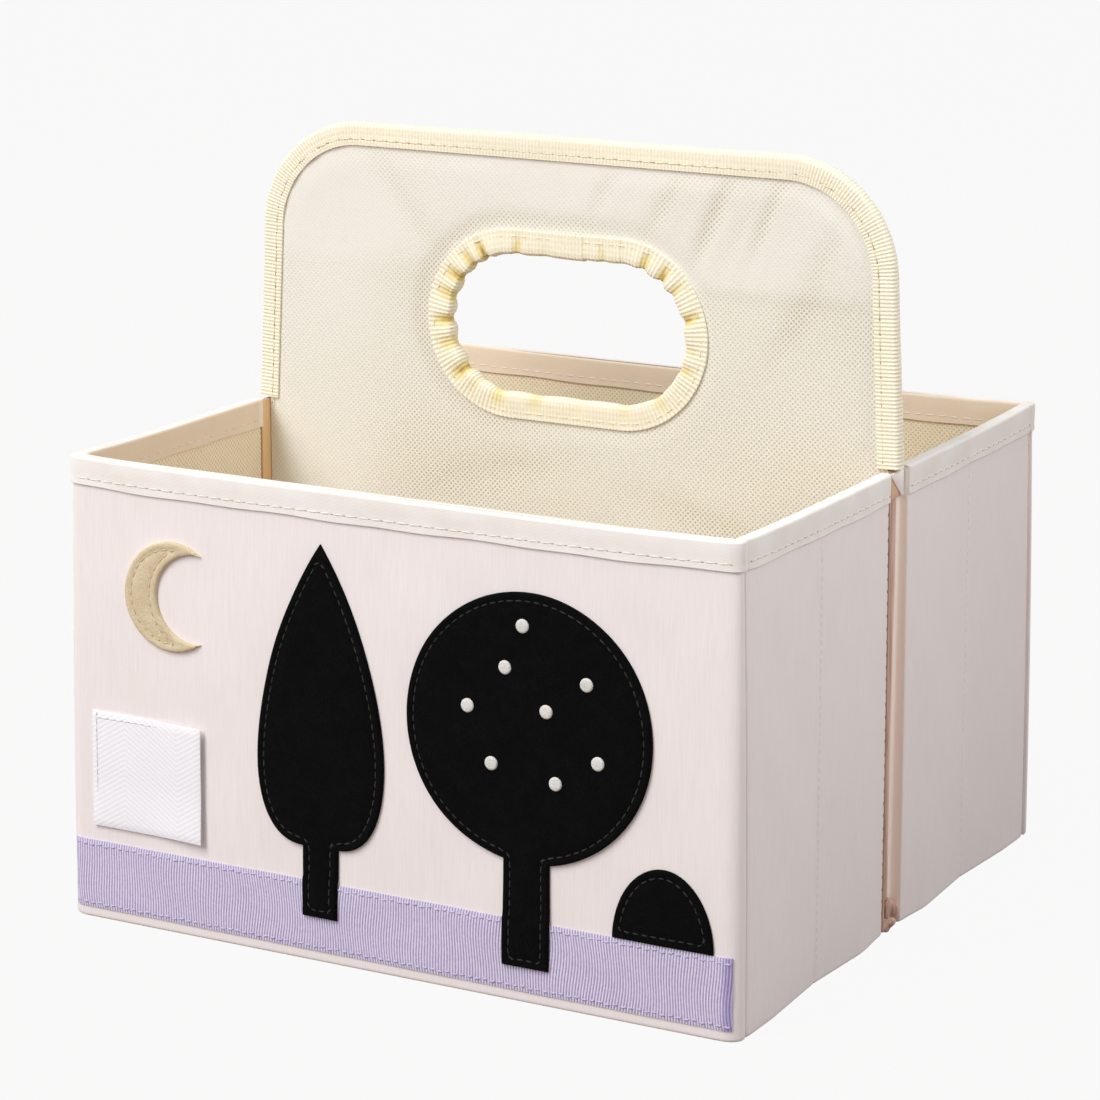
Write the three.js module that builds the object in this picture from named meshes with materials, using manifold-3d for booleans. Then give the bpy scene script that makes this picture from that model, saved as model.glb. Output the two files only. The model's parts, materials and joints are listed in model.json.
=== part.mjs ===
// A folding two-bin nursery caddy: canvas walls on board round two bins, with a carrying panel between
// them. Millimetres, +Z up. The front faces -Y, and the middle of the carrying panel is the plane y = 0.
import * as THREE from 'three';
import { mergeVertices } from 'three/addons/utils/BufferGeometryUtils.js';
import Module from 'manifold-3d';

const wasm = await Module();
wasm.setup();

// Overall sizes
const overallWidth = 280; // over the outer faces of the side walls
const overallDepth = 268; // over the outer faces of the front and back walls
const rimHeight = 180; // top of the rim tape
const carrierHeight = 294; // top of the carrying panel's edge webbing

// Thickness of each material
const canvas = 0.8;
const wallBoard = 2;
const lining = 0.7;
const rimTape = 0.7;
const carrierBoard = 2.2;
const webbing = 0.9;
const bottomPad = 2;
const ribbon = 0.6;
const labelTape = 0.8;
const felt = 1.5;

// Clearances
const layerGap = 0.1; // between layers sewn flat on each other
const seatGap = 0.3; // between pieces that fold past each other or are cut to fit

// Walls
const edgeRound = 1.2; // soft edge of a covered panel
const footRadius = 4; // lower corners of a covered panel
const rimTapeDrop = 11; // rim tape down each face of the wall
const rimTapeRound = 1.1; // fold of the rim tape along the top
const grooveWidth = 16; // between the side walls of the two bins
const grooveDepth = 3; // side face of the wall to the gusset
const bottomCorner = 8; // corners of the soft bottom, in plan

// Carrying panel
const carrierTaper = 2.8; // lean of each side towards the middle, in degrees
const carrierCorner = 44; // radius of the upper corners
const edgeWebbingDrop = 9; // folded webbing on each face, from its outer edge

// Hand opening, measured inside its webbing
const handleLength = 103;
const handleRise = 55;
const handleDrop = 74; // top of the carrying panel to the middle of the opening
const handleWebbingDrop = 9.5;
const gatherDepth = 0.8; // how far the gathered webbing swells
const gatherPitch = 9; // along the round ends
const gatherSteps = 5; // facets along each gather
const gatherMiddle = { drop: 5.2, swell: 0.56 }; // how far a gather still swells halfway across the webbing

// Trim on the front wall
const ribbonWidth = 27;
const ribbonFoot = 4.5;
const labelWidth = 50;
const labelHeight = 45;
const labelInset = 9; // from the wall's left edge
const labelFoot = 38;
const roundTree = { x: 58, foot: 14, trunk: 19, crown: 50, crownCentre: 103 };
const tallTree = {
  x: -29,
  foot: 18,
  trunk: 15,
  crownFoot: 45,
  bulge: 37.4,
  waist: 31.8,
  waistHeight: 114,
  top: 160,
};
const moon = { inset: 46, z: 132, outer: 21, inner: 17, shift: 10 }; // inset from the wall's left edge
const bush = { inset: 27, width: 40, height: 28 }; // inset from the wall's right edge

// Facets
const edgeSteps = 3; // across a soft edge
const footSteps = 2; // half of those on a lower corner of a wall
const bottomSteps = 3; // half of those on a corner of the soft bottom
const arcSteps = 20; // half of those on an arc of the carrying panel
const feltSteps = 16; // half of those on an arc of the felt shapes

// What follows from the sizes above
const wallThick = canvas + wallBoard + lining + 2 * layerGap;
const wallFoot = canvas + seatGap; // the walls end just above the bottom canvas
const tapeProud = layerGap + rimTape;
const coverTop = rimHeight - tapeProud;
const hingeInset = wallThick + tapeProud + seatGap; // wall's outer face to its hinge line
const grooveHalf = grooveWidth / 2;
const cornerY = overallDepth / 2 - hingeInset; // hinge line between a side leaf and the end wall
const creaseY = (grooveHalf + cornerY) / 2; // sewn crease between the two leaves
const panelFace = carrierBoard / 2 + layerGap + lining;
const webbingFold = webbing + layerGap; // webbing beyond the edge that it wraps
const webbingFace = panelFace + webbingFold;
const shoulder = rimHeight + seatGap; // where the carrying panel widens over the rim
const gussetBack = overallWidth / 2 - grooveDepth - canvas;
const handleCentre = carrierHeight - handleDrop;
const carrierHalf = overallWidth / 2; // carrying panel just above the rim, inside its webbing

const material = {
  canvas: new THREE.MeshStandardMaterial({ color: '#f0e2d9', roughness: 0.9 }),
  board: new THREE.MeshStandardMaterial({ color: '#a58a68', roughness: 0.95 }),
  lining: new THREE.MeshStandardMaterial({ color: '#e6d8bf', roughness: 0.9 }),
  tape: new THREE.MeshStandardMaterial({ color: '#f6efe6', roughness: 0.9 }),
  webbing: new THREE.MeshStandardMaterial({ color: '#f3e6bf', roughness: 0.85 }),
  pad: new THREE.MeshStandardMaterial({ color: '#e9e4da', roughness: 1 }),
  ribbon: new THREE.MeshStandardMaterial({ color: '#c0b2dc', roughness: 0.7 }),
  label: new THREE.MeshStandardMaterial({ color: '#f4f3f2', roughness: 0.85 }),
  blackFelt: new THREE.MeshStandardMaterial({ color: '#141312', roughness: 1 }),
  tanFelt: new THREE.MeshStandardMaterial({ color: '#dcc7a2', roughness: 1 }),
};

function piece(name, geometry, look) {
  const mesh = new THREE.Mesh(geometry, material[look]);
  mesh.name = name;
  return mesh;
}

function toSolid(geometry) {
  const bare = geometry.index ? geometry.toNonIndexed() : geometry.clone();
  bare.deleteAttribute('normal');
  bare.deleteAttribute('uv');
  const merged = mergeVertices(bare, 1e-4);
  return new wasm.Manifold(new wasm.Mesh({
    numProp: 3,
    vertProperties: new Float32Array(merged.attributes.position.array),
    triVerts: new Uint32Array(merged.index.array),
  }));
}

function toGeometry(solid) {
  const mesh = solid.getMesh();
  const geometry = new THREE.BufferGeometry();
  geometry.setAttribute('position', new THREE.BufferAttribute(mesh.vertProperties, 3));
  geometry.setIndex(new THREE.BufferAttribute(mesh.triVerts, 1));
  return geometry;
}

// An outline in x and z, extruded from yLow to yHigh
function uprightPlate(outline, yLow, yHigh, curveSegments = 1) {
  const depth = yHigh - yLow;
  const geometry = new THREE.ExtrudeGeometry(outline, { depth, bevelEnabled: false, curveSegments });
  return geometry.rotateX(Math.PI / 2).translate(0, yHigh, 0);
}

// An outline in x and y, extruded from zLow to zHigh
function flatPlate(outline, zLow, zHigh) {
  const depth = zHigh - zLow;
  const geometry = new THREE.ExtrudeGeometry(outline, {
    depth,
    bevelEnabled: false,
    curveSegments: bottomSteps,
  });
  return geometry.translate(0, 0, zLow);
}

function rectangle(xLow, yLow, xHigh, yHigh) {
  return new THREE.Shape()
    .moveTo(xLow, yLow)
    .lineTo(xHigh, yLow)
    .lineTo(xHigh, yHigh)
    .lineTo(xLow, yHigh)
    .closePath();
}

// Covered wall panels. Each is drawn along x with its outer face on y = 0, and then turned into place.
function panelOutline(length, inset, top) {
  const half = length / 2 - inset;
  const foot = wallFoot + inset;
  const radius = Math.max(footRadius - inset, layerGap);
  return new THREE.Shape()
    .moveTo(half - radius, foot)
    .absarc(half - radius, foot + radius, radius, -Math.PI / 2, 0, false)
    .lineTo(half, top)
    .lineTo(-half, top)
    .absarc(-half + radius, foot + radius, radius, Math.PI, Math.PI * 1.5, false)
    .closePath();
}

// Canvas drawn over the face, the two ends and the foot of the board, open behind and along the top
function coverGeometry(length) {
  const beyond = 2 * edgeRound;
  const block = new THREE.ExtrudeGeometry(panelOutline(length, 0, coverTop + beyond), {
    depth: wallThick,
    bevelThickness: edgeRound,
    bevelSize: edgeRound,
    bevelOffset: -edgeRound,
    bevelSegments: edgeSteps,
    curveSegments: footSteps,
  });
  block.rotateX(Math.PI / 2).translate(0, -edgeRound, 0);
  const kept = uprightPlate(rectangle(-length, 0, length, coverTop), -wallThick, beyond);
  const within = panelOutline(length, canvas, coverTop + beyond);
  const pocket = uprightPlate(within, -wallThick - beyond, -canvas, footSteps);
  return toGeometry(toSolid(block).intersect(toSolid(kept)).subtract(toSolid(pocket)));
}

// Tape folded over the top edge of a wall
function rimTapeGeometry(length) {
  const out = tapeProud;
  const back = -wallThick - tapeProud;
  const low = rimHeight - rimTapeDrop;
  const arcHeight = rimHeight - rimTapeRound;
  const section = new THREE.Shape()
    .moveTo(out, low)
    .absarc(out - rimTapeRound, arcHeight, rimTapeRound, 0, Math.PI / 2, false)
    .absarc(back + rimTapeRound, arcHeight, rimTapeRound, Math.PI / 2, Math.PI, false)
    .lineTo(back, low)
    .lineTo(back + rimTape, low)
    .lineTo(back + rimTape, rimHeight - rimTape)
    .lineTo(out - rimTape, rimHeight - rimTape)
    .lineTo(out - rimTape, low)
    .closePath();
  const geometry = new THREE.ExtrudeGeometry(section, {
    depth: length,
    bevelEnabled: false,
    curveSegments: edgeSteps,
  });
  const alongWall = new THREE.Matrix4().makeBasis(
    new THREE.Vector3(0, 1, 0),
    new THREE.Vector3(0, 0, 1),
    new THREE.Vector3(1, 0, 0),
  );
  return geometry.applyMatrix4(alongWall).translate(-length / 2, 0, 0);
}

function wallPanel(name, length, x, y, turn) {
  const group = new THREE.Group();
  const inside = panelOutline(length, canvas + layerGap, coverTop);
  const boardFace = -canvas - layerGap;
  group.add(
    piece(`${name}_cover`, coverGeometry(length), 'canvas'),
    piece(`${name}_board`, uprightPlate(inside, boardFace - wallBoard, boardFace, footSteps), 'board'),
    piece(`${name}_lining`, uprightPlate(inside, -wallThick, -wallThick + lining, footSteps), 'lining'),
    piece(`${name}_rim_tape`, rimTapeGeometry(length), 'tape'),
  );
  group.position.set(x, y, 0);
  group.rotation.z = turn;
  return group;
}

// Two leaves of one side wall of one bin, with the sewn crease between them
function sideLeaves(binName, binSign, sideName, sideSign) {
  const spans = {
    inner: [grooveHalf + seatGap, creaseY - seatGap / 2],
    outer: [creaseY + seatGap / 2, cornerY],
  };
  return Object.entries(spans).map(([place, [start, end]]) => wallPanel(
    `${binName}_${sideName}_${place}_leaf`,
    end - start,
    sideSign * overallWidth / 2,
    binSign * (start + end) / 2,
    -sideSign * Math.PI / 2,
  ));
}

// A bin's bottom in plan, behind the carrying panel, with round corners
function bottomOutline(half, near, far) {
  const r = bottomCorner;
  return new THREE.Shape()
    .moveTo(-half + r, near)
    .absarc(half - r, near + r, r, -Math.PI / 2, 0, false)
    .absarc(half - r, far - r, r, 0, Math.PI / 2, false)
    .absarc(-half + r, far - r, r, Math.PI / 2, Math.PI, false)
    .absarc(-half + r, near + r, r, Math.PI, Math.PI * 1.5, false)
    .closePath();
}

// Soft bottom of one bin: canvas under the walls, with interlining and lining between them
function softBottom(binName, binSign) {
  const inset = wallThick + seatGap;
  const under = bottomOutline(overallWidth / 2, seatGap / 2, overallDepth / 2);
  const within = bottomOutline(overallWidth / 2 - inset, panelFace + seatGap, overallDepth / 2 - inset);
  const padFoot = canvas + layerGap;
  const liningFoot = padFoot + bottomPad + layerGap;
  const group = new THREE.Group();
  group.add(
    piece(`${binName}_bottom_canvas`, flatPlate(under, 0, canvas), 'canvas'),
    piece(`${binName}_bottom_pad`, flatPlate(within, padFoot, padFoot + bottomPad), 'pad'),
    piece(`${binName}_bottom_lining`, flatPlate(within, liningFoot, liningFoot + lining), 'lining'),
  );
  group.rotation.z = binSign > 0 ? 0 : Math.PI;
  return group;
}

function bin(binName, binSign) {
  const group = new THREE.Group();
  const turn = binSign > 0 ? 0 : Math.PI;
  group.add(
    wallPanel(`${binName}_wall`, overallWidth, 0, binSign * overallDepth / 2, turn),
    ...sideLeaves(binName, binSign, 'right', 1),
    ...sideLeaves(binName, binSign, 'left', -1),
    softBottom(binName, binSign),
  );
  return group;
}

// Upper part of the carrying panel's outline, grown outwards all round. Its sides lean inwards, and
// each upper corner is an arc that meets the side and the top smoothly.
const lean = THREE.MathUtils.degToRad(carrierTaper);
const carrierTop = carrierHeight - webbingFold;
const arcZ = carrierTop - carrierCorner;
const arcX = carrierHalf - (arcZ - shoulder) * Math.tan(lean) - carrierCorner / Math.cos(lean);

function addCarrierTop(shape, grow) {
  return shape
    .absarc(arcX, arcZ, carrierCorner + grow, lean, Math.PI / 2, false)
    .absarc(-arcX, arcZ, carrierCorner + grow, Math.PI / 2, Math.PI - lean, false);
}

function carrierUpper(grow, foot) {
  const half = carrierHalf + grow / Math.cos(lean) - (foot - shoulder) * Math.tan(lean);
  const shape = new THREE.Shape().moveTo(-half, foot).lineTo(half, foot);
  return addCarrierTop(shape, grow).closePath();
}

// The hand opening's edge, grown outwards: two straight runs and two round ends
const handleHalfRun = (handleLength - handleRise) / 2;
const handleRadius = handleRise / 2;

function handleOutline(path, grow) {
  const r = handleRadius + grow;
  return path
    .moveTo(-handleHalfRun, handleCentre - r)
    .absarc(handleHalfRun, handleCentre, r, -Math.PI / 2, Math.PI / 2, false)
    .absarc(-handleHalfRun, handleCentre, r, Math.PI / 2, Math.PI * 1.5, false)
    .closePath();
}

// Whole carrying panel: narrow between the gussets, wide above the rim, with the hand opening
function carrierOutline() {
  const half = gussetBack - seatGap;
  const wide = carrierHalf;
  const shape = new THREE.Shape()
    .moveTo(-half, wallFoot)
    .lineTo(half, wallFoot)
    .lineTo(half, shoulder)
    .lineTo(wide, shoulder);
  addCarrierTop(shape, 0)
    .lineTo(-wide, shoulder)
    .lineTo(-half, shoulder)
    .closePath();
  shape.holes.push(handleOutline(new THREE.Path(), webbingFold));
  return shape;
}

// Webbing folded over the sides and the round top of the carrying panel
function edgeWebbingGeometry() {
  const past = seatGap + webbing;
  const slotFace = panelFace + layerGap;
  const outer = uprightPlate(carrierUpper(webbingFold, shoulder), -webbingFace, webbingFace, arcSteps);
  const slot = uprightPlate(carrierUpper(layerGap, shoulder - past), -slotFace, slotFace, arcSteps);
  const window = carrierUpper(webbingFold - edgeWebbingDrop, shoulder - past);
  const windowCut = uprightPlate(window, -webbingFace - past, webbingFace + past, arcSteps);
  return toGeometry(toSolid(outer).subtract(toSolid(slot)).subtract(toSolid(windowCut)));
}

// Stations round the hand opening, each with its place on the edge, the way out from it and how far
// the webbing is gathered there: none on the straight runs, in waves round the ends
function handleStations() {
  const gathers = Math.max(2, Math.round(Math.PI * handleRadius / gatherPitch));
  const stepsPerEnd = gathers * gatherSteps;
  const stations = [];
  for (const side of [1, -1]) {
    for (let i = 0; i <= stepsPerEnd; i += 1) {
      const share = i / stepsPerEnd;
      const angle = Math.PI * (share - side / 2);
      const outX = Math.cos(angle);
      const outZ = Math.sin(angle);
      stations.push({
        x: side * handleHalfRun + handleRadius * outX,
        z: handleCentre + handleRadius * outZ,
        outX,
        outZ,
        gather: (1 - Math.cos(2 * Math.PI * gathers * share)) / 2,
      });
    }
  }
  return stations;
}

// Webbing folded over the edge of the hand opening: a U section swept round the opening
function handleWebbingGeometry() {
  const slotFace = panelFace + layerGap;
  const foldRound = webbing / 2;
  const section = (gather) => {
    const swell = gatherDepth * gather;
    const face = webbingFace + swell;
    const lip = -swell / 2;
    const middle = gatherMiddle.drop;
    const middleFace = webbingFace + gatherMiddle.swell * gather;
    return [
      [handleWebbingDrop, webbingFace],
      [middle, middleFace],
      [foldRound, face],
      [lip, face - foldRound],
      [lip, -face + foldRound],
      [foldRound, -face],
      [middle, -middleFace],
      [handleWebbingDrop, -webbingFace],
      [handleWebbingDrop, -slotFace],
      [webbing, -slotFace],
      [webbing, slotFace],
      [handleWebbingDrop, slotFace],
    ];
  };
  const stations = handleStations();
  const positions = [];
  const faces = [];
  const count = section(0).length;
  stations.forEach((s, i) => {
    section(s.gather).forEach(([out, y], j) => {
      positions.push(s.x + s.outX * out, y, s.z + s.outZ * out);
      const next = (i + 1) % stations.length;
      const a = i * count + j;
      const b = i * count + (j + 1) % count;
      const c = next * count + (j + 1) % count;
      const d = next * count + j;
      faces.push(a, b, c, a, c, d);
    });
  });
  const geometry = new THREE.BufferGeometry();
  geometry.setAttribute('position', new THREE.Float32BufferAttribute(positions, 3));
  geometry.setIndex(faces);
  return geometry;
}

// Canvas strip in the groove: a shallow channel open outwards, drawn for the right side
function gussetGeometry() {
  const side = overallWidth / 2;
  const floor = gussetBack + canvas;
  const cheek = grooveHalf - canvas;
  const plan = new THREE.Shape()
    .moveTo(gussetBack, -grooveHalf)
    .lineTo(side, -grooveHalf)
    .lineTo(side, -cheek)
    .lineTo(floor, -cheek)
    .lineTo(floor, cheek)
    .lineTo(side, cheek)
    .lineTo(side, grooveHalf)
    .lineTo(gussetBack, grooveHalf)
    .closePath();
  return flatPlate(plan, wallFoot, coverTop);
}

function carrier() {
  const group = new THREE.Group();
  const outline = carrierOutline();
  const core = carrierBoard / 2;
  const leftGusset = piece('left_side_gusset', gussetGeometry(), 'canvas');
  leftGusset.rotation.z = Math.PI;
  group.add(
    piece('divider_board', uprightPlate(outline, -core, core, arcSteps), 'board'),
    piece('divider_front_panel', uprightPlate(outline, -panelFace, -panelFace + lining, arcSteps), 'lining'),
    piece('divider_back_panel', uprightPlate(outline, panelFace - lining, panelFace, arcSteps), 'lining'),
    piece('divider_edge_webbing', edgeWebbingGeometry(), 'webbing'),
    piece('handle_opening_webbing', handleWebbingGeometry(), 'webbing'),
    piece('right_side_gusset', gussetGeometry(), 'canvas'),
    leftGusset,
  );
  return group;
}

// Felt shapes on the front wall, in x and z
function roundTreeOutline() {
  const { x, foot, trunk, crown, crownCentre } = roundTree;
  const start = Math.asin(trunk / 2 / crown) - Math.PI / 2;
  return new THREE.Shape()
    .moveTo(x - trunk / 2, foot)
    .lineTo(x + trunk / 2, foot)
    .absarc(x, crownCentre, crown, start, Math.PI - start, false)
    .closePath();
}

function tallTreeOutline() {
  const { x, foot, trunk, crownFoot, bulge, waist, waistHeight, top } = tallTree;
  return new THREE.Shape()
    .moveTo(x - trunk / 2, foot)
    .lineTo(x + trunk / 2, foot)
    .lineTo(x + trunk / 2, crownFoot)
    .bezierCurveTo(x + bulge, crownFoot, x + waist, waistHeight, x, top)
    .bezierCurveTo(x - waist, waistHeight, x - bulge, crownFoot, x - trunk / 2, crownFoot)
    .closePath();
}

function moonOutline() {
  const { inset, z, outer, inner, shift } = moon;
  const x = inset - overallWidth / 2;
  const tipX = (shift ** 2 + outer ** 2 - inner ** 2) / (2 * shift);
  const tipZ = Math.sqrt(outer ** 2 - tipX ** 2);
  const outerTip = Math.atan2(tipZ, tipX);
  const innerTip = Math.atan2(tipZ, tipX - shift);
  return new THREE.Shape()
    .moveTo(x + tipX, z + tipZ)
    .absarc(x, z, outer, outerTip, 2 * Math.PI - outerTip, false)
    .absarc(x + shift, z, inner, 2 * Math.PI - innerTip, innerTip, true)
    .closePath();
}

function bushOutline() {
  const x = overallWidth / 2 - bush.inset;
  const foot = ribbonFoot + ribbonWidth + seatGap;
  return new THREE.Shape()
    .moveTo(x - bush.width / 2, foot)
    .absellipse(x, foot, bush.width / 2, bush.height, 0, Math.PI, false)
    .closePath();
}

// Trim is laid on the front wall's face: on the canvas, or over the ribbon
function frontTrim() {
  const group = new THREE.Group();
  const onCanvas = -overallDepth / 2 - layerGap;
  const overRibbon = onCanvas - ribbon - layerGap;
  const cutFelt = (outline, back) => uprightPlate(outline, back - felt, back, feltSteps);
  const half = overallWidth / 2 - edgeRound;
  const labelLeft = -overallWidth / 2 + labelInset;
  const ribbonShape = rectangle(-half, ribbonFoot, half, ribbonFoot + ribbonWidth);
  const labelShape = rectangle(labelLeft, labelFoot, labelLeft + labelWidth, labelFoot + labelHeight);
  group.add(
    piece('grosgrain_ribbon', uprightPlate(ribbonShape, onCanvas - ribbon, onCanvas), 'ribbon'),
    piece('label_tab', uprightPlate(labelShape, onCanvas - labelTape, onCanvas), 'label'),
    piece('felt_round_tree', cutFelt(roundTreeOutline(), overRibbon), 'blackFelt'),
    piece('felt_tall_tree', cutFelt(tallTreeOutline(), overRibbon), 'blackFelt'),
    piece('felt_moon', cutFelt(moonOutline(), onCanvas), 'tanFelt'),
    piece('felt_bush', cutFelt(bushOutline(), onCanvas), 'tanFelt'),
  );
  return group;
}

const caddy = new THREE.Group();
caddy.add(carrier(), bin('front', -1), bin('back', 1), frontTrim());

export default caddy;
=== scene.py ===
# Two-bin nursery caddy: cloth, webbing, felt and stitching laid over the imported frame
import itertools
import json
import math
import bpy
import numpy as np
from mathutils import Matrix, Vector
from mathutils.geometry import delaunay_2d_cdt


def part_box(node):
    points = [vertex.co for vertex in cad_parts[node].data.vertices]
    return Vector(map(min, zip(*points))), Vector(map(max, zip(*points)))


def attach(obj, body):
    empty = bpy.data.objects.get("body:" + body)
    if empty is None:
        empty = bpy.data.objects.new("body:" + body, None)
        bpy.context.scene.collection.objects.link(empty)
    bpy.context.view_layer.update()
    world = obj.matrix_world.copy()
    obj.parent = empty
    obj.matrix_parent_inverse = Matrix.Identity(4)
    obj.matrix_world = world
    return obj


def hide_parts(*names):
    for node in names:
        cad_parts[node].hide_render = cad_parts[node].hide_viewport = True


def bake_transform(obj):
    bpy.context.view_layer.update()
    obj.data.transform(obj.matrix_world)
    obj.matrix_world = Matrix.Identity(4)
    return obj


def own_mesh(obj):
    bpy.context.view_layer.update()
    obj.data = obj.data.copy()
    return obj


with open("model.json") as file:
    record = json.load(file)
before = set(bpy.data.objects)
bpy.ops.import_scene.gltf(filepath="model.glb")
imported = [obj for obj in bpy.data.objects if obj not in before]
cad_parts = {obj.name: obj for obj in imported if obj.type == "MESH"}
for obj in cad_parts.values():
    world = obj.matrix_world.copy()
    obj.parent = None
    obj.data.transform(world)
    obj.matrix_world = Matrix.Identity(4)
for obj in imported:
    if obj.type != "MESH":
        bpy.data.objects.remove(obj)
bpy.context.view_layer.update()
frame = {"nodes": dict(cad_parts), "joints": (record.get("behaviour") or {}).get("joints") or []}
mm = 0.001  # shapes below are worked out in millimetres and written in metres


def addObject(name, data):
    thing = bpy.data.objects.new(name, data)
    bpy.context.scene.collection.objects.link(thing)
    return thing


# Camera: the photograph's place and angle
view = {
    "place": (686.7, -1264.1, 491.8),
    "azimuth": 28.79,
    "elevation": 14.04,
    "roll": 0.13,
    "lens": 124.1,
    "sensor": 36,
    "clip": (0.05, 50),  # in metres
}


def makeCamera():
    turn, rise = math.radians(view["azimuth"]), math.radians(view["elevation"])
    back = Vector((math.sin(turn) * math.cos(rise), -math.cos(turn) * math.cos(rise), math.sin(rise)))
    right = Vector((math.cos(turn), math.sin(turn), 0))
    facing = Matrix((right, back.cross(right), back)).transposed()
    data = bpy.data.cameras.new("photo_camera")
    data.lens, data.sensor_width = view["lens"], view["sensor"]
    data.clip_start, data.clip_end = view["clip"]
    camera = addObject("photo_camera", data)
    camera.matrix_world = facing.to_4x4() @ Matrix.Rotation(math.radians(view["roll"]), 4, "Z")
    camera.location = Vector(view["place"]) * mm
    bpy.context.scene.camera = camera


makeCamera()
print("camera set")


# Node maths: a wrapped socket, on which arithmetic adds Math nodes
class Sock:
    def __init__(self, tree, socket=None):
        self.tree, self.socket = tree, socket

    def node(self, kind, settings=None, inputs=None, output=0):
        made = self.tree.nodes.new(kind)
        for key, value in (settings or {}).items():
            setattr(made, key, value)
        for key, value in (inputs or {}).items():
            if isinstance(value, Sock):
                self.tree.links.new(value.socket, made.inputs[key])
            else:
                made.inputs[key].default_value = value
        return Sock(self.tree, made.outputs[output])

    def math(self, operation, *values):
        return self.node("ShaderNodeMath", {"operation": operation}, dict(enumerate(values)))

    def __add__(self, other):
        return self.math("ADD", self, other)

    def __sub__(self, other):
        return self.math("SUBTRACT", self, other)

    def __rsub__(self, other):
        return self.math("SUBTRACT", other, self)

    def __mul__(self, other):
        return self.math("MULTIPLY", self, other)

    def __truediv__(self, other):
        return self.math("DIVIDE", self, other)

    __radd__, __rmul__ = __add__, __mul__

    def sine(self, pitch):  # a wave of that pitch, from -1 to 1
        return self.math("SINE", self * (2 * math.pi / pitch))

    def step(self, low, high):  # 0 below low, 1 above high
        settings = {"interpolation_type": "SMOOTHSTEP", "clamp": True}
        return self.node("ShaderNodeMapRange", settings, {0: self, 1: low, 2: high})

    def split(self):
        made = self.node("ShaderNodeSeparateXYZ", inputs={0: self}).socket.node
        return [Sock(self.tree, out) for out in made.outputs]

    def blend(self, low, high):  # a colour between two, by this share
        return self.node("ShaderNodeMix", {"data_type": "RGBA"}, {0: self, 6: low, 7: high}, 2)

    def tone(self, low, high, look):  # the look's dark where this is low, its light where it is high
        return self.step(low, high).blend(tint(look["dark"]), tint(look["light"]))

    def attribute(self, name):
        return self.node("ShaderNodeAttribute", {"attribute_name": name}, output="Fac")


def tint(code):  # a colour code as a linear colour
    parts = [int(code[i:i + 2], 16) / 255 for i in (0, 2, 4)]
    return tuple(p / 12.92 if p <= 0.04045 else ((p + 0.055) / 1.055) ** 2.4 for p in parts) + (1,)


def newFinish(name):
    material = bpy.data.materials.new(name)
    material.use_nodes = True
    return material, Sock(material.node_tree)


def objectPlace(start):  # object coordinates in millimetres
    return start.node("ShaderNodeVectorMath", {"operation": "SCALE"}, {
        0: start.node("ShaderNodeTexCoord", output="Object"), "Scale": 1 / mm})


def upright(place, share):  # noise on this is drawn out up the cloth
    return place.node("ShaderNodeMapping", {"vector_type": "POINT"}, {0: place, "Scale": (1, 1, share)})


def noise(place, size, detail=2.0, rough=0.5):  # size is a lump's width in millimetres
    inputs = {"Vector": place, "Scale": 1 / size, "Detail": detail, "Roughness": rough}
    return place.node("ShaderNodeTexNoise", inputs=inputs)


def dress(material, colour, height, roughness, depth=0.1, strength=1.0, sheen=0.0, specular=0.25):
    tree = material.node_tree
    shader = tree.nodes["Principled BSDF"]
    if isinstance(colour, Sock):
        tree.links.new(colour.socket, shader.inputs["Base Color"])
    else:
        shader.inputs["Base Color"].default_value = colour
    values = {"Roughness": roughness, "Specular IOR Level": specular,
              "Sheen Weight": sheen, "Sheen Roughness": 0.5}
    for name, value in values.items():
        shader.inputs[name].default_value = value
    if height is not None:
        inputs = {"Strength": strength, "Distance": depth * mm, "Height": height}
        tree.links.new(Sock(tree).node("ShaderNodeBump", inputs=inputs).socket, shader.inputs["Normal"])
    return material


# Finishes: a recipe gives the colour and the bump's height, from the place on the piece and the look
canvasLook = {"rib": 1.15, "yarn": 0.62, "slub": 26, "drift": 1.2, "draw": 0.06,
              "surface": {"roughness": 0.88, "depth": 0.04, "strength": 0.6, "sheen": 0.1}}


def canvas(place, look):
    x, y, z = place.split()
    drift = noise(place, look["slub"])
    rib = (x + y + drift * look["drift"]).sine(look["rib"])
    yarn = (z + rib * 0.1).sine(look["yarn"])
    thread = noise(upright(place, look["draw"]), 0.8)
    share = thread * 0.55 + rib * 0.03 + drift * 0.25 + 0.1
    return share.tone(0.15, 0.85, look), rib * 0.12 + yarn * 0.12 + thread


# The groove's cloth is the walls' canvas; its darker, pinker tones here are painted shade of the recess
grooveShadeLook = {"draw": 0.05, "surface": {"roughness": 0.88, "depth": 0.1, "strength": 0.7, "sheen": 0.1},
              "marks": {"cheek": "fff0e6", "fold": "8d6355", "tape": "fbf5ee", "within": "efc795"}}


def groove(place, look):  # painted shade and light: darker canvas for the recess, a painted light back cheek, painted shade on the front folds, a tan edge of painted warm shade in the bin, and the tape's own white at the top
    place = upright(place, look["draw"])
    thread, fold = noise(place, 0.9, 3.0), noise(place, 2.6)
    colour = (thread * 0.5 + fold * 0.55).tone(0.3, 0.75, look)
    for mark, code in look["marks"].items():
        colour = place.attribute(mark).blend(colour, tint(code))
    return colour, thread + fold * 0.8


liningLook = {"pitch": 2.1, "flat": False, "pit": (0.3, 0.85), "pressed": 0.85,
              "surface": {"roughness": 0.8, "depth": 0.14, "strength": 0.8, "sheen": 0.05}}


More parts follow.
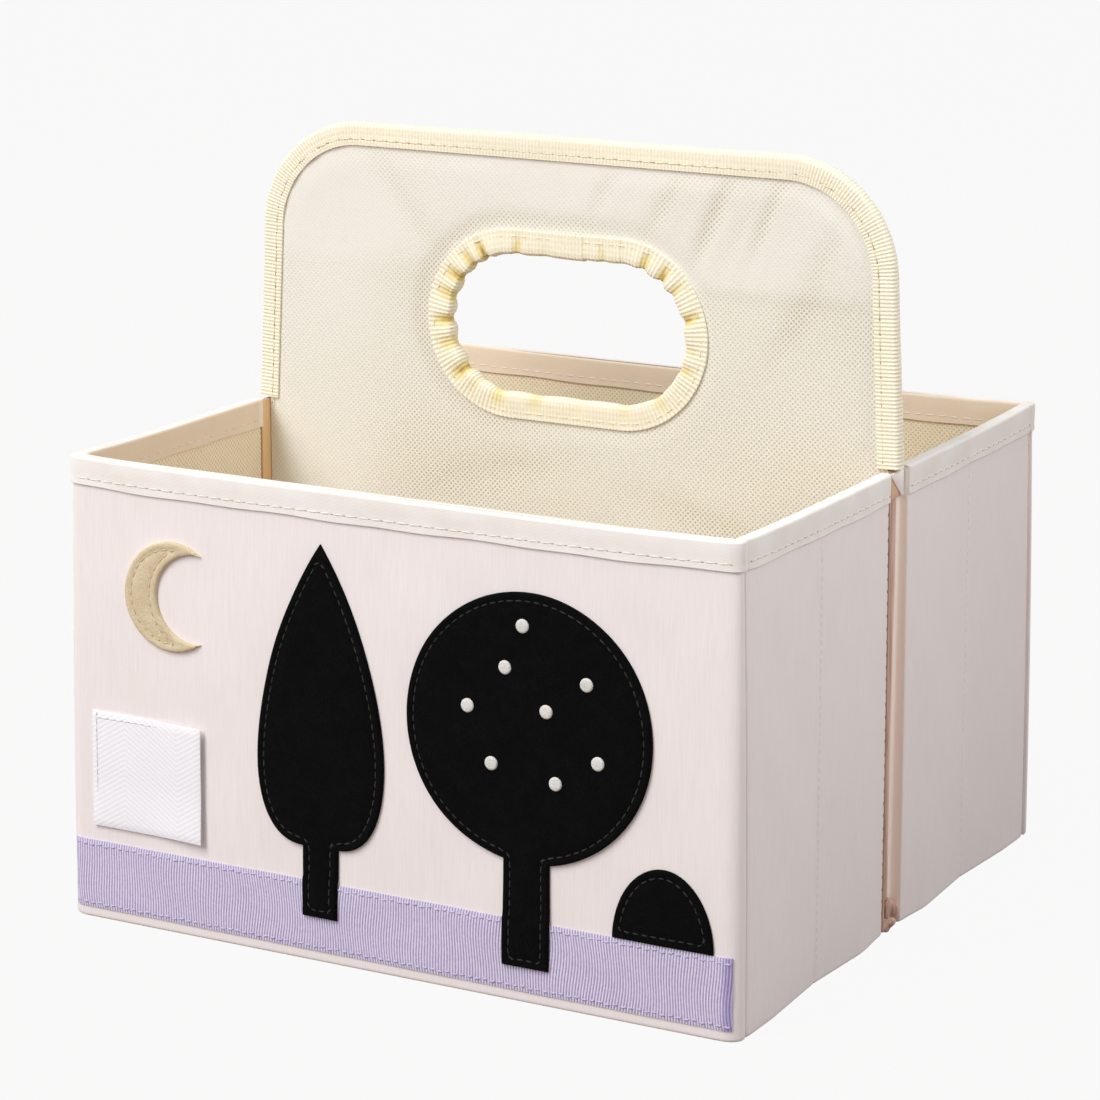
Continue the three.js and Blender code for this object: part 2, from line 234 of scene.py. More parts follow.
def lining(place, look):  # embossed cloth: raised threads cross in a diamond net, with painted shade in the pits between them
    x, y, z = place.split()
    across, up = (x, y) if look["flat"] else (x + y, z)
    lines = [place.math("ABSOLUTE", line.sine(2 * look["pitch"])) for line in (across + up, across - up)]
    fibre, cloud = noise(place, 0.8, 3.0), noise(place, 30)
    # pit sinks the bump and darkens the colour as painted shade; smooth, by the pressed share, fades both
    pit = place.math("MINIMUM", *lines).step(*look["pit"]) * (1 - place.attribute("smooth") * look["pressed"])
    share = 0.85 - pit * 0.7 + fibre * 0.2 + cloud * 0.12
    return share.tone(0.1, 1.0, look), fibre * 0.5 - pit


tapeLook = {"within": "ebcda6", "tan": 0.6, "twill": 1.0, "lumps": 14,
            "surface": {"roughness": 0.82, "depth": 0.09, "strength": 0.7, "sheen": 0.08}}


def tape(place, look):  # tan where it faces into a bin: painted warm shade of the bin's inside
    x, y, z = place.split()
    twill = (x + y + z).sine(look["twill"]) * (x + y - z).sine(look["twill"])
    lumps = noise(place, look["lumps"])
    colour = (lumps * 0.7 + twill * 0.16).tone(0.15, 0.65, look)
    colour = (place.attribute("within") * look["tan"]).blend(colour, tint(look["within"]))
    return colour, twill * 0.5 + lumps * 0.3


webbingLook = {"shade": "ecd991", "deep": "c2973a", "warp": 2.0, "rib": 1.45, "fuzz": 0.5,
               "surface": {"roughness": 0.8, "depth": 0.11, "strength": 0.8, "sheen": 0.08}}


def ribbedWebbing(place, look):  # ribs across, warp threads along, and painted shade where it is gathered
    run, across, pucker = (place.attribute(key) for key in ("run", "across", "pucker"))
    rib, warp = run.sine(look["rib"]), across.sine(look["warp"])
    fuzz = noise(place, look["fuzz"])
    share = rib * 0.12 + warp * 0.08 + rib * warp * 0.14 + fuzz * 0.5 + 0.44
    colour = share.tone(0.1, 0.85, look)
    # painted shade in the gathers: the shade colour where it is pinched, deep in the deepest valleys
    colour = (pucker.step(0.05, 0.6) * 0.8).blend(colour, tint(look["shade"]))
    colour = pucker.step(0.7, 1.15).blend(colour, tint(look["deep"]))
    return colour, rib * 0.5 + warp * 0.3 + fuzz * 0.5


ribbonLook = {"end": "7d66bd", "endX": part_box("grosgrain_ribbon")[1][0] / mm, "endWidth": 3.0, "endShare": 0.45,
              "rib": 1.15, "weft": 0.5,
              "surface": {"roughness": 0.6, "depth": 0.1, "strength": 0.7, "sheen": 0.1}}


def ribbon(place, look):  # ribbed, and darker at its end where it turns round the corner: painted shade
    x, _, z = place.split()
    rib = place.attribute("run").sine(look["rib"])
    colour = (rib * 0.42 + noise(place, 1.2) * 0.5 + 0.27).tone(0.1, 0.95, look)
    end = x.step(look["endX"] - look["endWidth"], look["endX"]) * look["endShare"]
    return end.blend(colour, tint(look["end"])), rib * 0.6 + z.sine(look["weft"]) * 0.2


labelLook = {"twill": 2.0, "chevron": 24, "slope": 0.62, "shift": 500,
             "surface": {"roughness": 0.85, "depth": 0.07, "strength": 0.7, "sheen": 0.08}}


def herringbone(place, look):
    x, _, z = place.split()
    zigzag = place.math("PINGPONG", x + look["shift"], look["chevron"])
    twill = (zigzag * look["slope"] + z).sine(look["twill"])
    grain = noise(place, 0.7)
    return (twill * 0.16 + grain * 0.6 + 0.35).tone(0.1, 0.9, look), twill * 0.5 + grain * 0.7


feltLook = {"surface": {"roughness": 0.97, "depth": 0.35, "strength": 0.9, "specular": 0.08}}


def felt(place, look):
    fibre, clump = noise(place, 0.7, 4.0, 0.7), noise(place, 5, 3.0)
    return (fibre * 0.7 + clump * 0.3).tone(0.35, 0.75, look), fibre + clump * 0.6


threadLook = {"twist": 0.5, "slope": 1.3,
              "surface": {"roughness": 0.6, "depth": 0.05, "strength": 0.5, "sheen": 0.1}}


def thread(place, look):
    x, y, z = place.split()
    twist = (x + y + z * look["slope"]).sine(look["twist"])
    return (twist * 0.3 + noise(place, 2.0) * 0.6 + 0.2).tone(0.1, 0.9, look), twist


boardLook = {"surface": {"roughness": 0.95, "depth": 0.1, "strength": 0.5}}


def board(place, look):
    pulp = noise(place, 1.5, 4.0, 0.7)
    return (pulp * 0.7 + noise(place, 20) * 0.3).tone(0.3, 0.7, look), pulp


padLook = {"surface": {"roughness": 0.98, "depth": 0.5, "strength": 0.8}}


def pad(place, look):
    fluff = noise(place, 2.5, 4.0, 0.7)
    return fluff.tone(0.3, 0.7, look), fluff


def makeFinish(name, recipe, look, light, dark):
    look = {**look, "light": light, "dark": dark}
    material, start = newFinish(name)
    colour, height = recipe(objectPlace(start), look)
    return dress(material, colour, height, **look["surface"])


finishTable = {  # the material's name, its recipe and look, its light and its dark colour
    "canvas": ("blush_canvas", canvas, canvasLook, "f9f2f1", "f2e8e6"),
    # painted shade: canvas in a darker pink for the shaded crease at each corner
    "seam": ("corner_crease_shade_canvas", canvas, canvasLook, "ecd9d0", "dfc8bd"),
    # painted shade: the groove's canvas in darker, pinker tones than the walls
    "groove": ("groove_canvas", groove, grooveShadeLook, "e6c8b8", "b88f7c"),
    # painted light: a lighter copy of the rim tape for the fold over the groove's top
    "litGrooveTape": ("groove_tape_painted_light", canvas, canvasLook, "fffaf5", "f6eee7"),
    # painted shade: the lining at the groove's top in a tan, darker copy
    "shadedGrooveCloth": ("groove_lining_painted_shade", canvas, canvasLook, "ecc9ad", "dcb494"),
    # painted shade: the bins' lining in a warmer, darker cream than the carrier's, for the warm shade inside the
    # bins
    "lining": ("embossed_wall_lining_warm_shade", lining, liningLook, "f8ebd2", "e2cba4"),
    "carrierLining": ("embossed_carrier_cloth", lining, liningLook, "f0ede4", "c8ba97"),
    "bottomLining": ("embossed_bottom_lining_warm_shade", lining, {**liningLook, "flat": True}, "f8ebd2", "e2cba4"),
    "tape": ("rim_tape_cloth", tape, tapeLook, "fdfaf6", "f4ede6"),
    "webbing": ("ribbed_webbing", ribbedWebbing, webbingLook, "fcf6e4", "ead79f"),
    "ribbon": ("lavender_grosgrain", ribbon, ribbonLook, "efe9f8", "a99bc8"),
    "label": ("herringbone_tape", herringbone, labelLook, "fdfcff", "f3f1fd"),
    "blackFelt": ("black_felt", felt, feltLook, "0f0e0e", "020202"),
    "tanFelt": ("tan_felt", felt, feltLook, "ecdfc4", "d6c29c"),
    "whiteFelt": ("white_felt", felt, feltLook, "f7f5f2", "dcd9d4"),
    "creamThread": ("cream_thread", thread, threadLook, "f8f2ea", "e6dbce"),
    "blushThread": ("blush_thread", thread, threadLook, "f1e5df", "dfcfc8"),
    "yellowThread": ("pale_yellow_thread", thread, threadLook, "fbf4da", "e2d4a4"),
    "lilacThread": ("lilac_thread", thread, threadLook, "e6def2", "a597cb"),
    "blackThread": ("black_thread", thread, threadLook, "2f2a25", "0d0b0a"),
    # painted shade: dark dots for the shade inside the needle holes
    "stitchHoleShade": ("needle_hole_shade", thread, threadLook, "b8aba0", "958779"),
    "seamHoleShade": ("seam_hole_shade", thread, threadLook, "7d5a4d", "55372d"),
    "labelHoleShade": ("label_hole_shade", thread, threadLook, "d5d3d8", "b4b1ba"),
    "tanThread": ("tan_thread", thread, threadLook, "f0e2c2", "b69a6a"),
    "whiteThread": ("white_thread", thread, threadLook, "ffffff", "dddddd"),
    "board": ("grey_board", board, boardLook, "b9a283", "9a8465"),
    "pad": ("soft_interlining", pad, padLook, "f1eee6", "dcd6ca"),
}
finishes = {key: makeFinish(*row) for key, row in finishTable.items()}
print("finishes made:", len(finishes))


# Mesh helpers
def nodeBox(*nodes):  # box round some CAD nodes, in millimetres
    corners = [np.array(corner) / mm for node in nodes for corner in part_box(node)]
    return np.min(corners, 0), np.max(corners, 0)


def ease(low, high, value):  # 0 at low, 1 at high, smooth between
    share = np.clip((value - low) / (high - low), 0, 1)
    return share * share * (3 - 2 * share)


def hump(gap, width):  # 1 at no gap, falling off on both sides
    return np.exp(-(gap / width) ** 2)


def stacked(*parts):  # coordinates side by side in one array
    return np.stack(np.broadcast_arrays(*parts), -1)


def arc(centre, radius, start, end, count):  # points on an arc, angles in degrees
    angles = np.radians(np.linspace(start, end, count + 1))
    return stacked(centre[0] + radius * np.cos(angles), centre[1] + radius * np.sin(angles))


def path(stops, pitch, group=1):  # even points from stop to stop, without the last stop
    parts = []
    for a, b in zip(np.array(stops, float), np.array(stops[1:], float)):
        count = group * max(1, round(np.hypot(*(b - a)) / pitch / group))
        parts.append(a + (b - a) * (np.arange(count) / count)[:, None])
    return np.concatenate(parts)


def runLength(points):  # the way covered at each point of a line
    return np.concatenate([[0], np.cumsum(np.linalg.norm(np.diff(points, axis=0), axis=1))])


def addMesh(name, points, faces, finish, attributes=None, sharp=50):
    mesh = bpy.data.meshes.new(name)
    mesh.from_pydata((np.asarray(points) * mm).tolist(), [], faces)
    mesh.shade_smooth()
    mesh.set_sharp_from_angle(angle=math.radians(sharp))
    for key, values in (attributes or {}).items():
        made = mesh.attributes.new(key, "FLOAT", "POINT")
        made.data.foreach_set("value", np.asarray(values, np.float32).ravel())
    mesh.materials.append(finishes[finish])
    return addObject(name, mesh)


def loftFaces(count, size, first=0):  # rings of points, each joined to the next
    j, k = np.arange(size), np.roll(np.arange(size), -1)
    starts = first + size * np.arange(count - 1)
    return [face for a in starts for face in stacked(a + j, a + k, a + size + k, a + size + j).tolist()]


def shellFaces(rows, columns, closed):  # two grids, front then back, joined round their edges
    back = rows * columns
    grid = np.arange(back).reshape(rows, columns)
    edges = [] if closed else [grid[0, ::-1], grid[-1]]
    if closed:
        grid = np.concatenate([grid, grid[:1]])
    a, b, c, d = (part.ravel() for part in (grid[:-1, :-1], grid[1:, :-1], grid[1:, 1:], grid[:-1, 1:]))
    faces = [stacked(a, b, c, d), back + stacked(d, c, b, a)]
    for edge in [grid[:, 0], grid[::-1, -1]] + edges:
        faces.append(stacked(edge[:-1], back + edge[:-1], back + edge[1:], edge[1:]))
    return np.concatenate(faces).tolist()


def addShell(name, front, back, finish, closed=False, attributes=None, sharp=50):  # rows by columns by xyz
    points = np.concatenate([front.reshape(-1, 3), back.reshape(-1, 3)])
    return addMesh(name, points, shellFaces(*front.shape[:2], closed), finish, attributes, sharp)


def edgeDistance(points, loops):
    nearest = np.full(len(points), 1e9)
    for loop in loops:
        for a, b in zip(loop, np.roll(loop, -1, 0)):
            run = b - a
            share = np.clip((points - a) @ run / (run @ run), 0, 1)
            nearest = np.minimum(nearest, np.hypot(*(points - a - share[:, None] * run).T))
    return nearest


def inside(points, loops):
    hits = np.zeros(len(points), int)
    for loop in loops:
        for (ax, ay), (bx, by) in zip(loop, np.roll(loop, -1, 0)):
            if ay != by:
                crosses = (points[:, 1] < ay) != (points[:, 1] < by)
                hits += crosses & (points[:, 0] < ax + (points[:, 1] - ay) * (bx - ax) / (by - ay))
    return hits % 2 == 1


def insetRing(loop, inset, loops, keep):  # the loop moved in, without points that come too near an edge
    tangent = np.roll(loop, -1, 0) - np.roll(loop, 1, 0)
    tangent /= np.hypot(*tangent.T)[:, None]
    ring = loop + inset * stacked(-tangent[:, 1], tangent[:, 0])
    return ring[edgeDistance(ring, loops) > inset * keep]


plateGrid = {"rowShare": 0.87, "clear": 0.55, "keep": 0.9, "sharp": 60}


def fillOutline(loops, pitch, insets):  # outline runs anticlockwise and holes clockwise
    groups = list(loops)
    for inset in insets:
        groups += [insetRing(loop, inset, loops, plateGrid["keep"]) for loop in loops]
    low, high = loops[0].min(0), loops[0].max(0)
    rowPitch = pitch * plateGrid["rowShare"]
    columns, rows = np.meshgrid(np.arange(low[0], high[0], pitch), np.arange(low[1], high[1], rowPitch))
    columns[1::2] += pitch / 2
    grid = stacked(columns.ravel(), rows.ravel())
    grid = grid[inside(grid, loops)]
    groups.append(grid[edgeDistance(grid, loops) > max(insets, default=0) + pitch * plateGrid["clear"]])
    starts = np.cumsum([0] + [len(loop) for loop in loops])
    edges = [(a + i, a + (i + 1) % (b - a)) for a, b in zip(starts, starts[1:]) for i in range(b - a)]
    made = delaunay_2d_cdt([Vector(p) for p in np.concatenate(groups)], edges, [], 0, 1e-5)
    flat, faces = np.array([tuple(v) for v in made[0]]), np.array(made[2])
    faces = faces[inside(flat[faces].mean(1), loops)]
    turned = np.cross(flat[faces[:, 1]] - flat[faces[:, 0]], flat[faces[:, 2]] - flat[faces[:, 0]]) < 0
    faces[turned] = faces[turned][:, ::-1]
    return flat, faces


def addPlate(name, loops, pitch, insets, front, back, finish, marks=None):  # a cut sheet, faces by formula
    flat, faces = fillOutline(loops, pitch, insets)
    gap = edgeDistance(flat, loops)
    count = len(flat)
    points = np.concatenate([front(flat, gap), back(flat, gap)])
    edges = [(a, b) for face in faces.tolist() for a, b in zip(face, face[1:] + face[:1])]
    known = set(edges)
    rims = [(count + a, count + b, b, a) for a, b in edges if (b, a) not in known]
    faces = faces.tolist() + (faces[:, ::-1] + count).tolist() + rims
    return addMesh(name, points, faces, finish, marks(points) if marks else None, plateGrid["sharp"])


def rides(piece, body, slot, *nodes):
    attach(piece, body)
    if nodes:
        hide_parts(*nodes)
    return piece


# Geometry Nodes: stitches along a line, and ribs across webbing or ribbon
def nodeTree(name, inputs):  # the new tree's inputs, as sockets
    tree = bpy.data.node_groups.new(name, "GeometryNodeTree")
    inputs = {"Geometry": "Geometry", **inputs}
    for label, kind in inputs.items():
        tree.interface.new_socket(name=label, in_out="INPUT", socket_type=f"NodeSocket{kind}")
    tree.interface.new_socket(name="Geometry", in_out="OUTPUT", socket_type="NodeSocketGeometry")
    source = tree.nodes.new("NodeGroupInput")
    return {label: Sock(tree, source.outputs[label]) for label in inputs}


def closeTree(shape, material):  # the tree's result is this shape in that material
    done = shape.node("GeometryNodeSetMaterial", inputs={0: shape, "Material": material})
    shape.tree.links.new(done.socket, shape.tree.nodes.new("NodeGroupOutput").inputs[0])
    return shape.tree


stitchVary = {"low": (0.86, 0.85, 0.85), "high": (1.06, 1.15, 1.15)}


def stitchTree():
    given = nodeTree("stitch_run", {"Pitch": "Float", "Length": "Float", "Thickness": "Float", "Shift": "Float",
                                    "Seed": "Int", "Thread": "Material"})
    add = given["Geometry"].node
    line = add("GeometryNodeMeshToCurve", inputs={0: given["Geometry"]})
    dots = add("GeometryNodeResampleCurve", {"mode": "LENGTH"}, {"Curve": line, "Length": given["Pitch"]})
    heading = add("GeometryNodeInputTangent")
    turn = add("FunctionNodeAlignRotationToVector", {"axis": "X"}, {"Vector": heading})
    ball = add("GeometryNodeMeshUVSphere", inputs={"Segments": 6, "Rings": 5, "Radius": 0.5})
    thickness = given["Thickness"]
    size = add("ShaderNodeCombineXYZ", inputs={0: given["Length"], 1: thickness, 2: thickness})
    place = add("ShaderNodeCombineXYZ", inputs={0: given["Shift"]})
    thread = add("GeometryNodeTransform", inputs={"Geometry": ball, "Scale": size, "Translation": place})
    vary = add("FunctionNodeRandomValue", {"data_type": "FLOAT_VECTOR"}, {
        0: stitchVary["low"], 1: stitchVary["high"], "Seed": given["Seed"]})
    laid = add("GeometryNodeInstanceOnPoints", inputs={
        "Points": dots, "Instance": thread, "Rotation": turn, "Scale": vary})
    real = add("GeometryNodeRealizeInstances", inputs={0: laid})
    return closeTree(add("GeometryNodeSetShadeSmooth", inputs={0: real}), given["Thread"])


def ribTree():
    given = nodeTree("raised_ribs", {"Pitch": "Float", "Depth": "Float", "Cloth": "Material"})
    add = given["Geometry"].node
    run, share = (add("GeometryNodeInputNamedAttribute", inputs={"Name": name}) for name in ("run", "ribbed"))
    wave = run.math("SINE", run / given["Pitch"] * (2 * math.pi))
    offset = add("ShaderNodeVectorMath", {"operation": "SCALE"}, {
        0: add("GeometryNodeInputNormal"), "Scale": wave * share * given["Depth"]})
    moved = add("GeometryNodeSetPosition", inputs={"Geometry": given["Geometry"], "Offset": offset})
    return closeTree(add("GeometryNodeRealizeInstances", inputs={0: moved}), given["Cloth"])


def applyTree(piece, tree, values):  # runs a tree on a piece and keeps the plain mesh
    modifier = piece.modifiers.new(tree.name, "NODES")
    modifier.node_group = tree
    for item in tree.interface.items_tree:
        if item.in_out == "INPUT" and item.name in values:
            modifier[item.identifier] = values[item.name]
    mesh = bpy.data.meshes.new_from_object(piece.evaluated_get(bpy.context.evaluated_depsgraph_get()))
    piece.modifiers.remove(modifier)
    old, piece.data = piece.data, mesh
    mesh.name = piece.name
    bpy.data.meshes.remove(old)
    return piece


stitchRuns, ribs = stitchTree(), ribTree()
threadSize = {"pitch": 5.3, "length": 4.3, "thickness": 0.6}
holeShadeSize = {"length": 1.8, "thickness": 0.4}
stitchSeeds = itertools.count(1)


def addStitches(name, lines, thread, body, slot, pitch=threadSize["pitch"], thickness=threadSize["thickness"],
                length=None, shift=0):
    starts = np.cumsum([0] + [len(line) for line in lines])
    edges = [(i, i + 1) for a, b in zip(starts, starts[1:]) for i in range(a, b - 1)]
    mesh = bpy.data.meshes.new(name)
    mesh.from_pydata((np.concatenate(lines) * mm).tolist(), edges, [])
    piece = applyTree(addObject(name, mesh), stitchRuns, {
        "Pitch": pitch * mm,
        "Length": (length or pitch * threadSize["length"] / threadSize["pitch"]) * mm,
        "Thickness": thickness * mm,
        "Shift": shift * mm,
        "Seed": next(stitchSeeds),
        "Thread": finishes[thread],
    })
    return rides(piece, body, slot)


def addHoleShades(name, lines, hole, body, slot, pitch=threadSize["pitch"]):  # dark dots of painted shade in the needle holes between the stitches
    addStitches(name, lines, hole, body, slot, pitch, holeShadeSize["thickness"], holeShadeSize["length"], pitch / 2)


def addRibs(piece, pitch, depth, finish):
    return applyTree(piece, ribs, {"Pitch": pitch, "Depth": depth * mm, "Cloth": finishes[finish]})


print("helpers ready")


# Walls: each stretch has s along it, out from its outer face and z up, in millimetres
tapeFoot, rimTop = (corner[2] for corner in nodeBox("front_wall_rim_tape"))
coverTop = nodeBox("front_wall_cover")[1][2]
binSigns = {"front": -1, "back": 1}
sideSigns = {"right": 1, "left": -1}
joints = {joint["name"]: joint for joint in frame["joints"]}
creaseY = abs(joints["front_right_crease"]["pos_m"][1]) / mm
cornerPivot = np.abs(joints["front_corner"]["pos_m"][:2]) / mm
wallSoft = {
    "flare": 3.0, "belly": 0.5,
    "wave": 0.22, "waveSize": 62, "endStill": 18, "footStill": (4, 30), "rimStill": 30,
    "creaseDip": 0.55, "creaseWidth": 0.45, "creaseFlare": 0.25, "creaseReach": 40,
    "grooveFlare": 0.4, "grooveReach": 25, "peak": 1.3, "peakReach": 28,
    "wallSeed": 11, "sideSeed": 31, "seedStep": 7,
}


def swell(z):  # the walls lean out towards the foot and belly a little
    share = np.clip((tapeFoot - z) / tapeFoot, 0, 1)
    return wallSoft["flare"] * share + wallSoft["belly"] * np.sin(math.pi * share)


class Stretch:  # s grows towards the groove where grooveWay is 1; an end wall has no crease and no groove
    def __init__(self, name, bodies, origin, along, length, seed, crease=None, grooveWay=0):
        self.name, self.bodies, self.length = name, bodies, length
        self.isWall, self.crease, self.grooveWay = crease is None, crease, grooveWay
        self.origin, self.along = np.array(origin, float), np.array(along, float)
        self.inward = np.array((-self.along[1], self.along[0]))
        self.phases = np.random.default_rng(seed).uniform(0, 2 * math.pi, 4)

    def world(self, s, out, z):
        s, out, z = np.broadcast_arrays(s, out, z)
        flat = self.origin + s[..., None] * self.along - out[..., None] * self.inward
        return np.concatenate([flat, z[..., None]], -1)

    def surface(self, s, z):  # how far the outer face stands out
        a, b, c, _ = self.phases
        size = wallSoft["waveSize"] / (2 * math.pi)
        wave = np.sin(s / size + a) * np.sin(z / size * 0.8 + b) + 0.6 * np.sin(s / size * 1.7 + z / size + c)
        free = ease(0, wallSoft["endStill"], self.length / 2 - np.abs(s)) * ease(*wallSoft["footStill"], z)
        free = free * ease(tapeFoot, tapeFoot - wallSoft["rimStill"], z)
        out = swell(z) + wallSoft["wave"] * wave * free
        if self.isWall:
            return out
        fromCrease, fromGroove = np.abs(s - self.crease), self.length / 2 - s * self.grooveWay
        for least, share in ((wallSoft["creaseFlare"], np.clip(fromCrease / wallSoft["creaseReach"], 0, 1)),
                             (wallSoft["grooveFlare"], ease(0, wallSoft["grooveReach"], fromGroove))):
            out = out * (least + (1 - least) * share)
        return out - wallSoft["creaseDip"] * hump(fromCrease, wallSoft["creaseWidth"])

    def rimRise(self, s):  # the rim peaks a little at the box's corners
        gaps = [self.length / 2 + way * s for way in (-1, 1) if way != -self.grooveWay]
        return wallSoft["peak"] * sum(np.exp(-gap / wallSoft["peakReach"]) for gap in gaps)


def makeStretches():
    walls, sides = {}, {}
    for i, (binName, binSign) in enumerate(binSigns.items()):
        body = f"{binName}_wall"
        low, high = nodeBox(f"{body}_cover")
        outer = low[1] if binSign < 0 else high[1]
        walls[binName] = Stretch(
            body, [body], (0, outer), (-binSign, 0), high[0] - low[0], wallSoft["wallSeed"] + i)
        for sideName, sideSign in sideSigns.items():
            name = f"{binName}_{sideName}"
            leaves = [f"{name}_{place}_leaf" for place in ("inner", "outer")]
            low, high = nodeBox(*[f"{leaf}_cover" for leaf in leaves])
            middle = (low[1] + high[1]) / 2
            outer = high[0] if sideSign > 0 else low[0]
            seed = wallSoft["sideSeed"] + wallSoft["seedStep"] * len(sides)
            sides[binName, sideName] = Stretch(
                name, leaves, (outer, middle), (0, sideSign), high[1] - low[1], seed,
                (binSign * creaseY - middle) * sideSign, -binSign * sideSign)
    return walls, sides


walls, sides = makeStretches()
coverShape = {
    "thick": 3.0, "pitch": 4.0, "rise": 4.0, "turns": 8,
    "foot": 0.2, "footRound": 1.2, "footSteps": (0, 0.3, 0.7, 1.3, 2.1, 3.0), "bodyFrom": 4.4,
    "cornerRound": (4.0, 2.2), "squareRound": (0.1, 0.1),  # sizes along and through the wall
    "edgeRound": (5.0, 0.7), "grooveRound": (3.0, 0.7), "inRound": (0.3, 0.3),
    "nearCrease": (0, 0.25, 0.6, 1.0, 1.6, 2.6),
}


def creaseColumns(stretch):  # closer columns by a crease
    if stretch.isWall:
        return ()
    steps = np.array(coverShape["nearCrease"])
    return np.concatenate([stretch.crease - steps, stretch.crease + steps])


def stretchRounds(stretch):  # outer start, outer end, inner end and inner start corners
    names = ("corner", "square", "edge", "groove", "in")
    corner, square, edge, groove, within = (np.array(coverShape[f"{name}Round"]) for name in names)
    if stretch.isWall:
        return corner, corner, square, square
    return (edge, groove, within, within) if stretch.grooveWay > 0 else (groove, edge, within, within)


def sectionLoop(stretch, depth, pitch):  # plan of a wall and its normals, anticlockwise
    half, extra = stretch.length / 2, creaseColumns(stretch)
    startOut, endOut, endIn, startIn = stretchRounds(stretch)

    def along(low, high):
        even = np.linspace(low, high, max(2, round((high - low) / pitch) + 1))
        return np.union1d(even, [value for value in extra if low < value < high])[1:-1]

    def corner(s, d, size, start):  # a quarter of an ellipse
        angles = np.radians(np.linspace(start, start + 90, coverShape["turns"]))
        turn = stacked(np.cos(angles), np.sin(angles))
        normal = turn / size
        return np.array([s, d]) + size * turn, normal / np.hypot(*normal.T)[:, None]

    def run(values, d, normal):
        return stacked(values, d), np.tile(normal, (len(values), 1))

    parts = [
        run(along(-half + startOut[0], half - endOut[0]), 0, (0, -1)),
        corner(half - endOut[0], endOut[1], endOut, -90),
        corner(half - endIn[0], depth - endIn[1], endIn, 0),
        run(along(-half + startIn[0], half - endIn[0])[::-1], depth, (0, 1)),
        corner(-half + startIn[0], depth - startIn[1], startIn, 90),
        corner(-half + startOut[0], startOut[1], startOut, 180),
    ]
    return [np.concatenate(group) for group in zip(*parts)]


def roundTurn(gap, size):  # near a rounded end: its normal's two parts, and how far the face draws in
    wide, deep = size
    turn = np.arcsin(np.clip(1 - gap / wide, 0, 1))
    normal = np.array([np.sin(turn) / wide, np.cos(turn) / deep])
    across, facing = normal / np.hypot(*normal)
    return across, facing, deep * (1 - np.cos(turn))


def leafEdge(stretch, s, z):  # how far the cloth stands out where it turns into the groove
    _, facing, drawn = roundTurn(stretch.length / 2 - s * stretch.grooveWay, coverShape["grooveRound"])
    return stretch.surface(s, z) * facing - drawn


def footCut(z):  # how far the rounded foot draws in
    radius = coverShape["footRound"]
    return radius - np.sqrt(radius ** 2 - np.clip(radius - z, 0, radius) ** 2)


def addCover(stretch):
    depth, low = coverShape["thick"], coverShape["foot"]
    loop, normal = sectionLoop(stretch, depth, coverShape["pitch"])
    body = np.linspace(low + coverShape["bodyFrom"], coverTop, round(coverTop / coverShape["rise"]))
    rings = []
    for z in np.concatenate([low + np.array(coverShape["footSteps"]), body]):
        shrink = 1 - footCut(z) / (stretch.length / 2) if stretch.isWall else 1
        ends = normal[:, 0] * swell(z) if stretch.isWall else 0
        out = stretch.surface(loop[:, 0], z) * np.clip(-normal[:, 1], 0, 1)
        inset = loop[:, 1] + footCut(z) * (1 - loop[:, 1] / depth)
        rings.append(stretch.world(loop[:, 0] * shrink + ends, out - inset, z))
    count, size = len(rings), len(loop)
    caps = [list(range(size))[::-1], list(range((count - 1) * size, count * size))]
    return addMesh(f"{stretch.name}_canvas", np.concatenate(rings), loftFaces(count, size) + caps, "canvas")


liningShape = {
    "inset": 0.9, "depth": 3.05, "inner": 3.7, "foot": 2.2, "top": coverTop - 0.5, "pitch": 4.0, "rows": 44,
    "wave": 0.18, "waveSize": 45, "still": 15, "creaseDent": 0.25, "creaseWidth": 1.2,
}


def addLining(stretch):
    half, still = stretch.length / 2 - liningShape["inset"], liningShape["still"]
    even = np.linspace(-half, half, round(2 * half / liningShape["pitch"]))
    s = np.union1d(even, creaseColumns(stretch))[::-1]
    z = np.linspace(liningShape["foot"], liningShape["top"], liningShape["rows"])
    grid, rise = np.meshgrid(s, z, indexing="ij")
    size = liningShape["waveSize"] / (2 * math.pi)
    wave = np.sin(grid / size + stretch.phases[0]) * np.sin(rise / size * 1.3 + stretch.phases[1])
    free = ease(0, still, half - np.abs(grid)) * ease(2, 20, rise) * ease(tapeFoot + 2, tapeFoot - still, rise)
    face = -liningShape["inner"] - liningShape["wave"] * (wave + 1) * free
    if not stretch.isWall:
        face += liningShape["creaseDent"] * hump(grid - stretch.crease, liningShape["creaseWidth"])
    front, back = (stretch.world(grid, out, rise) for out in (face, -liningShape["depth"]))
    return addShell(f"{stretch.name}_inner_lining", front, back, "lining")


def liningCut(stretch):
    return (stretch.length - 2 * liningShape["inset"]) * mm, (liningShape["top"] - liningShape["foot"]) * mm


def capStrip(loop, first):  # the top of a loft over a wall's plan, from its outer to its inner edge
    turns, last = coverShape["turns"], len(loop)
    endOut = int(np.argmax(loop[:, 0] >= loop[:, 0].max() - 1e-9))
    outer = np.roll(np.arange(last), turns)[:endOut + turns + 1]
    inner = np.setdiff1d(np.arange(last), outer)[::-1]
    faces, i, j = [], 0, 0
    while i + 1 < len(outer) or j + 1 < len(inner):
        nextOuter = loop[outer[i + 1], 0] if i + 1 < len(outer) else np.inf
        nextInner = loop[inner[j + 1], 0] if j + 1 < len(inner) else np.inf
        if nextOuter <= nextInner:
            faces.append([outer[i], outer[i + 1], inner[j]])
            i += 1
        else:
            faces.append([outer[i], inner[j + 1], inner[j]])
            j += 1
    return (np.array(faces) + first).tolist()


tapeShape = {
    "proud": 0.8, "gap": 0.08, "lip": 0.25, "round": 1.1, "folds": 6, "waver": 0.35, "pitch": 3.0, "sharp": 30,
}


